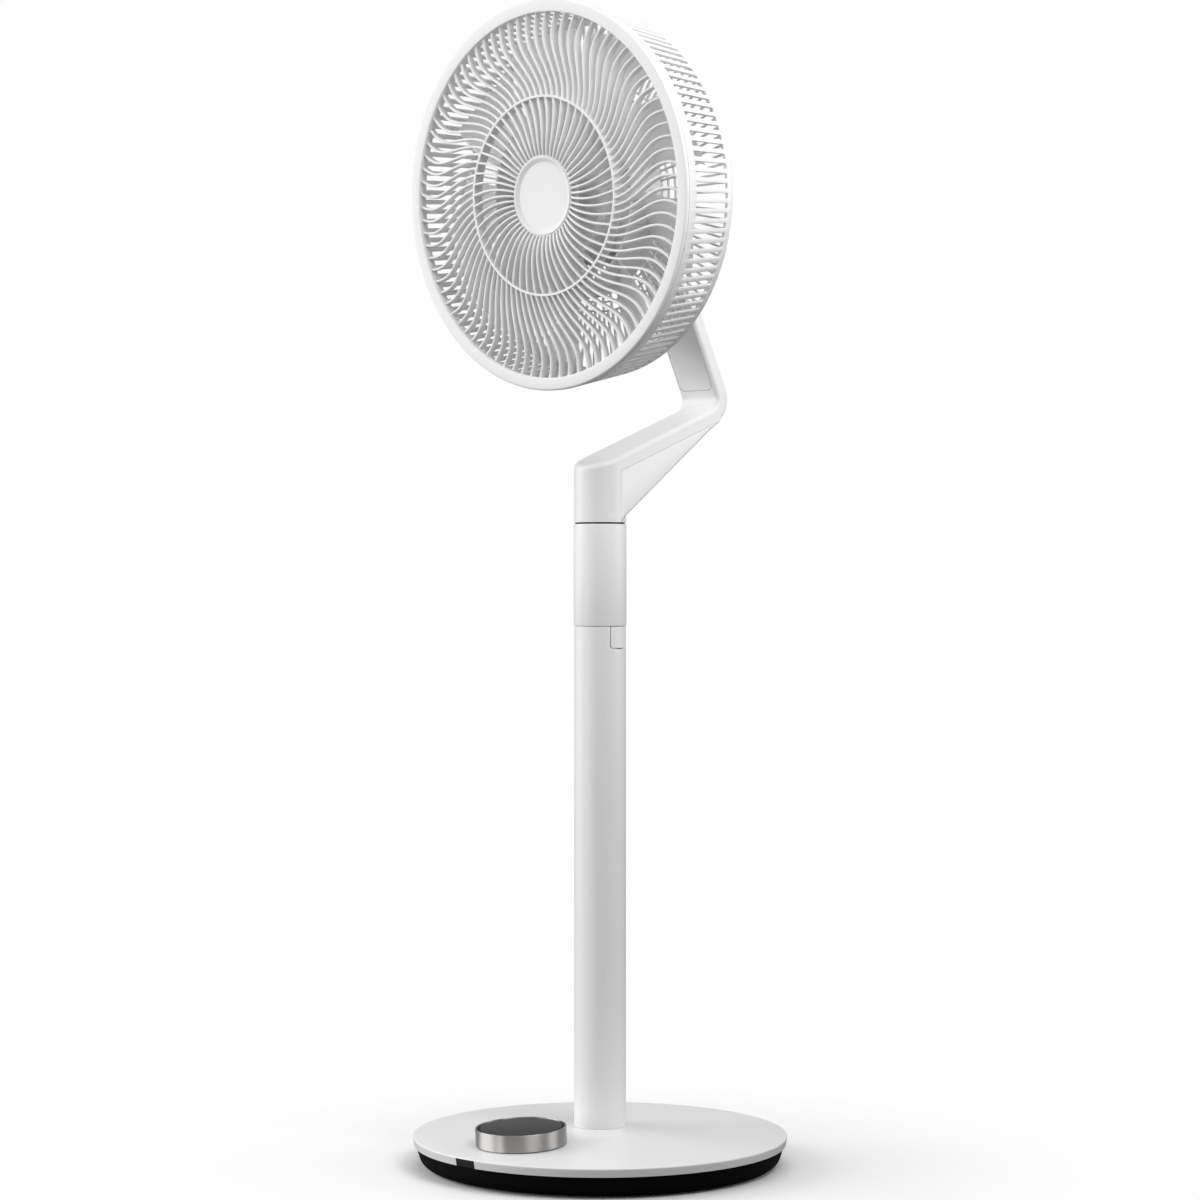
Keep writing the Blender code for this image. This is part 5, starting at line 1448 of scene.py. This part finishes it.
    def build(self) -> None:
        """Make and settle the guard's pieces."""
        self.settle(self.front(), Body.HEAD, Slot.WHITE, "front_grille")
        self.settle(self.hub_cap(), Body.HEAD, Slot.WHITE, "hub_cap")
        self.settle(self.drum(), Body.HEAD, Slot.WHITE, "rear_guard")
        self.settle(self.back(), Body.HEAD, Slot.WHITE)
        self.settle(self.lock_screw(), Body.HEAD, Slot.WHITE)


@dataclass(frozen=True)
class BladeRow:
    """A row of swept blades round the axis.

    Args:
        count: Number of blades.
        first: Angle of the first blade's middle at its root, in degrees clockwise from the top.
        chord: Degrees that a blade takes up round the axis.
        rise: How far a blade falls back along the axis from its front edge to its rear edge.
        middle: Height of its middle.
        sweep: Degrees that its middle line turns between root and tip.
        thickness: Its thickness.
    """

    count: int
    first: float
    chord: float
    rise: float
    middle: float
    sweep: float
    thickness: float = 0.0022

    def grid(self, near: Callable[[np.ndarray], np.ndarray], far: Callable[[np.ndarray], np.ndarray]) -> Grid:
        """The blades with rounded edges.

        At a share s of the span and c across the chord, a blade's middle surface is at the angle
        first + sweep s^2 + chord c and at the height middle - rise c - arch (1 - 4 c^2). Its skin
        lies to each side by half the thickness times sqrt((1 - (2 c)^8) (1 - (2 s - 1)^40)), which
        brings both sides together all round the edge.

        Args:
            near: Radius of the blades' roots at a height.
            far: Radius of their tips at a height.

        Returns:
            All the blades as one batch.
        """
        share = 0.5 - 0.5 * np.cos(np.linspace(0.0, math.pi, 19))
        chord = 0.5 * np.cos(np.linspace(0.0, math.pi, 17))
        across = np.concatenate((chord, chord[-2:0:-1]))
        facing = np.concatenate((np.ones(17), -np.ones(15)))
        s, c = np.meshgrid(share, across, indexing="ij")
        height = self.middle - self.rise * c - self.thickness * 1.5 * (1.0 - 4.0 * c ** 2)
        radius = near(height) + s * (far(height) - near(height))
        angle = np.radians(self.first + self.sweep * s ** 2 + self.chord * c)
        side = np.sqrt(np.maximum((1.0 - (2.0 * c) ** 8) * (1.0 - (2.0 * s - 1.0) ** 40), 0.0))
        height = height + facing * self.thickness / 2 * side
        angle = (np.arange(self.count) * math.tau / self.count)[:, None, None] + angle[None]
        return Grid(polar(radius, angle, height), round_columns=True)


@dataclass
class Drive(Assembly):
    """The motor housing and the impeller."""

    hub_radius: float = 0.057
    tip_radius: float = 0.149
    front: float = 0.1055
    rear: float = 0.0680
    ring_front: float = 0.1015
    ring_rear: float = 0.0690
    ring_front_radius: float = 0.0850
    ring_rear_radius: float = 0.0905
    ring_wall: float = 0.0024
    inner: BladeRow = BladeRow(5, 44.5, 58.0, 0.028, 0.086, 3.0)
    outer: BladeRow = BladeRow(9, 25.5, 25.5, 0.027, 0.087, 6.0)

    def root_radius(self, height: np.ndarray) -> np.ndarray:
        """Middle of the hub's wall, the same at every height."""
        return np.full_like(height, self.hub_radius - self.ring_wall / 2)

    def ring_radius(self, height: np.ndarray) -> np.ndarray:
        """Middle of the blade ring's wall, which widens evenly towards the rear."""
        share = (self.ring_front - height) / (self.ring_front - self.ring_rear)
        return self.ring_front_radius + share * (self.ring_rear_radius - self.ring_front_radius)

    def tip(self, height: np.ndarray) -> np.ndarray:
        """Radius of the outer blades' tips, the same at every height."""
        return np.full_like(height, self.tip_radius)

    def impeller(self) -> Piece:
        """The impeller: a rounded hub cup, five inner blades, a ring and nine outer blades.

        Returns:
            The piece.
        """
        inside = self.hub_radius - self.ring_wall
        cup = fillet([
            (0.0043, self.front, 0.0), (self.hub_radius, self.front, 0.0045), (self.hub_radius, self.rear, 0.0006),
            (inside, self.rear, 0.0006), (inside, self.front - 0.0044, 0.003), (0.0090, self.front - 0.0024, 0.001),
            (0.0090, self.rear - 0.0012, 0.0005), (0.0043, self.rear - 0.0012, 0.0)], steps=5)
        half = self.ring_wall / 2
        ring = fillet([
            (self.ring_front_radius + half, self.ring_front, 0.0009),
            (self.ring_rear_radius + half, self.ring_rear, 0.0009),
            (self.ring_rear_radius - half, self.ring_rear, 0.0009),
            (self.ring_front_radius - half, self.ring_front, 0.0009)], steps=3)
        grids = [
            turn_profile(cup, 128), turn_profile(ring, 160), self.inner.grid(self.root_radius, self.ring_radius),
            self.outer.grid(self.ring_radius, self.tip)]
        return skin("fan_impeller", grids, HEAD_PLACE, sharp=40.0)

    def housing(self) -> Piece:
        """The motor housing: a rounded cup with the tilt knuckle on its rear.

        Returns:
            The piece.
        """
        cup = fillet([
            (0.0, 0.0175, 0.0), (0.0521, 0.0175, 0.0040), (0.0555, 0.0529, 0.0), (0.0580, 0.0529, 0.0005),
            (0.0552, 0.0150, 0.0070), (0.0, 0.0150, 0.0)], closed=False, steps=8)
        shell = skin("fan_motor_housing", [turn_profile(cup, 128, closed=False)], sharp=35.0)
        outline = np.vstack((arc(0.010, 0.0, -math.pi, 25), [(-0.010, 0.0160), (0.010, 0.0160)]))
        turn = Matrix(((0, 0, -1, 0), (1, 0, 0, 0), (0, 1, 0, 0), (0, 0, 0, 1)))
        lug = skin("tilt_knuckle", [prism(outline, -0.010, 0.010)], turn)
        carve(shell, lug, "UNION")
        carve(shell, rod("knuckle_bore", 0.0053, 0.02, -0.02, 48, Matrix.Rotation(math.pi / 2, 4, "Y")))
        shell.data.transform(HEAD_PLACE)
        return shade(shell, 35.0)

    def build(self) -> None:
        """Make and settle the drive's pieces."""
        self.settle(self.impeller(), Body.FAN, Slot.WHITE, "impeller", polished=True)
        self.settle(self.housing(), Body.HEAD, Slot.WHITE, "motor_housing")


@dataclass
class Studio:
    """Floor, background, lights and the photograph's camera."""

    azimuth: float = 44.0
    distance: float = 2.822
    height: float = 0.535
    focal_pixels: float = 3112.0
    horizon_pixel: float = 575.0
    frame_pixels: float = 1200.0
    floor_tone: float = 0.97
    floor_bounce: float = 0.12
    floor_near: float = 0.17
    floor_far: float = 0.50
    surround: float = 0.36

    def floor(self) -> None:
        """A pale floor that fades out into the background for the camera, and throws back little light."""
        across = np.linspace(-6.0, 6.0, 3)
        x, y = np.meshgrid(across, across, indexing="ij")
        piece = skin("studio_floor", [Grid(np.stack((x, y, np.zeros_like(x)), axis=-1))])
        material = bpy.data.materials.new("pale_floor")
        material.use_nodes = True
        wire(material.node_tree, {
            "Principled BSDF": ("", {}, {"Roughness": 0.9, "Specular IOR Level": 0.1}),
            "ray": ("LightPath", {}, {}),
            "tone": ("Mix", {"data_type": "RGBA"}, {
                6: (*[self.floor_bounce] * 3, 1.0), 7: (*[self.floor_tone] * 3, 1.0)}),
            "place": ("TexCoord", {}, {}),
            "reach": ("VectorMath", {"operation": "LENGTH"}, {}),
            "fade": ("MapRange", {"interpolation_type": "SMOOTHSTEP"}, {
                "From Min": self.floor_near, "From Max": self.floor_far, "To Min": 1.0, "To Max": 0.0}),
            "unseen": ("Math", {"operation": "SUBTRACT"}, {0: 1.0}),
            "solid": ("Math", {"operation": "MAXIMUM"}, {}),
        }, ("ray.Is Camera Ray > tone.Factor", "tone.2 > Principled BSDF.Base Color", "place.Object > reach.0",
            "reach.Value > fade.Value", "ray.Is Camera Ray > unseen.1", "unseen.0 > solid.0", "fade.Result > solid.1",
            "solid.0 > Principled BSDF.Alpha"))
        piece.data.materials.append(material)

    def camera(self) -> None:
        """The camera, level with its horizon a little above the frame's middle."""
        data = bpy.data.cameras.new("camera")
        data.sensor_width = 36.0
        data.lens = 36.0 * self.focal_pixels / self.frame_pixels
        camera = new_object("camera", data)
        turn = math.radians(self.azimuth)
        camera.location = (math.sin(turn) * self.distance, -math.cos(turn) * self.distance, self.height)
        drop = math.atan((self.frame_pixels / 2 - self.horizon_pixel) / self.focal_pixels)
        camera.rotation_euler = (math.pi / 2 - drop, 0.0, turn)
        bpy.context.scene.camera = camera

    def light(self, name: str, aim: float, azimuth: float, elevation: float, distance: float, size: float,
              power: float, spread: float = 180.0) -> None:
        """A soft square light that faces the fan.

        Args:
            name: The light's name.
            aim: Height on the fan's middle line that it faces.
            azimuth: Degrees round from the fan's front.
            elevation: Degrees above the level of what it faces.
            distance: Distance from what it faces.
            size: Side of the light.
            power: Its power in watts.
            spread: Degrees of the cone that it lights.
        """
        data = bpy.data.lights.new(name, "AREA")
        data.size = size
        data.energy = power
        data.spread = math.radians(spread)
        lamp = new_object(name, data)
        turn, rise = math.radians(azimuth), math.radians(elevation)
        back = Vector((math.sin(turn) * math.cos(rise), -math.cos(turn) * math.cos(rise), math.sin(rise)))
        lamp.location = Vector((0.0, 0.0, aim)) + back * distance
        lamp.rotation_euler = (-back).to_track_quat("-Z", "Y").to_euler()

    def background(self) -> None:
        """A surround that is seen white and lights the fan softly."""
        world = bpy.data.worlds.new("studio_surround")
        world.use_nodes = True
        wire(world.node_tree, {
            "Background": ("", {}, {"Color": (1.0, 1.0, 1.0, 1.0)}),
            "ray": ("LightPath", {}, {}),
            "strength": ("MapRange", {}, {"To Min": self.surround, "To Max": 1.0}),
        }, ("ray.Is Camera Ray > strength.Value", "strength.Result > Background.Strength"))
        bpy.context.scene.world = world
        bpy.context.scene.view_settings.view_transform = "Standard"

    def build(self) -> None:
        """Set up the studio."""
        self.floor()
        self.camera()
        self.background()
        self.light("key_light", 0.45, -53.0, 12.0, 2.8, 2.6, 66.0)
        self.light("front_light", 0.35, -9.0, 0.0, 2.2, 0.6, 7.0)
        self.light("head_light", 0.88, 80.0, 30.0, 1.2, 0.8, 4.8, spread=110.0)
        self.light("top_light", 0.0, 0.0, 90.0, 2.8, 2.0, 15.0)
        self.light("rear_light", 0.45, 132.0, 10.0, 2.4, 1.2, 11.0)


def main() -> None:
    """Build the fan's looks in order and report each piece."""
    logging.basicConfig(level=logging.INFO, format="%(message)s")
    finishes = Finishes()
    finishes.build()
    finishes.dress_frame()
    for assembly in (Base(finishes), Knob(finishes), Pole(finishes), Neck(finishes), Guard(finishes), Drive(finishes)):
        assembly.build()
    Studio().build()


if __name__ == "__main__":
    main()
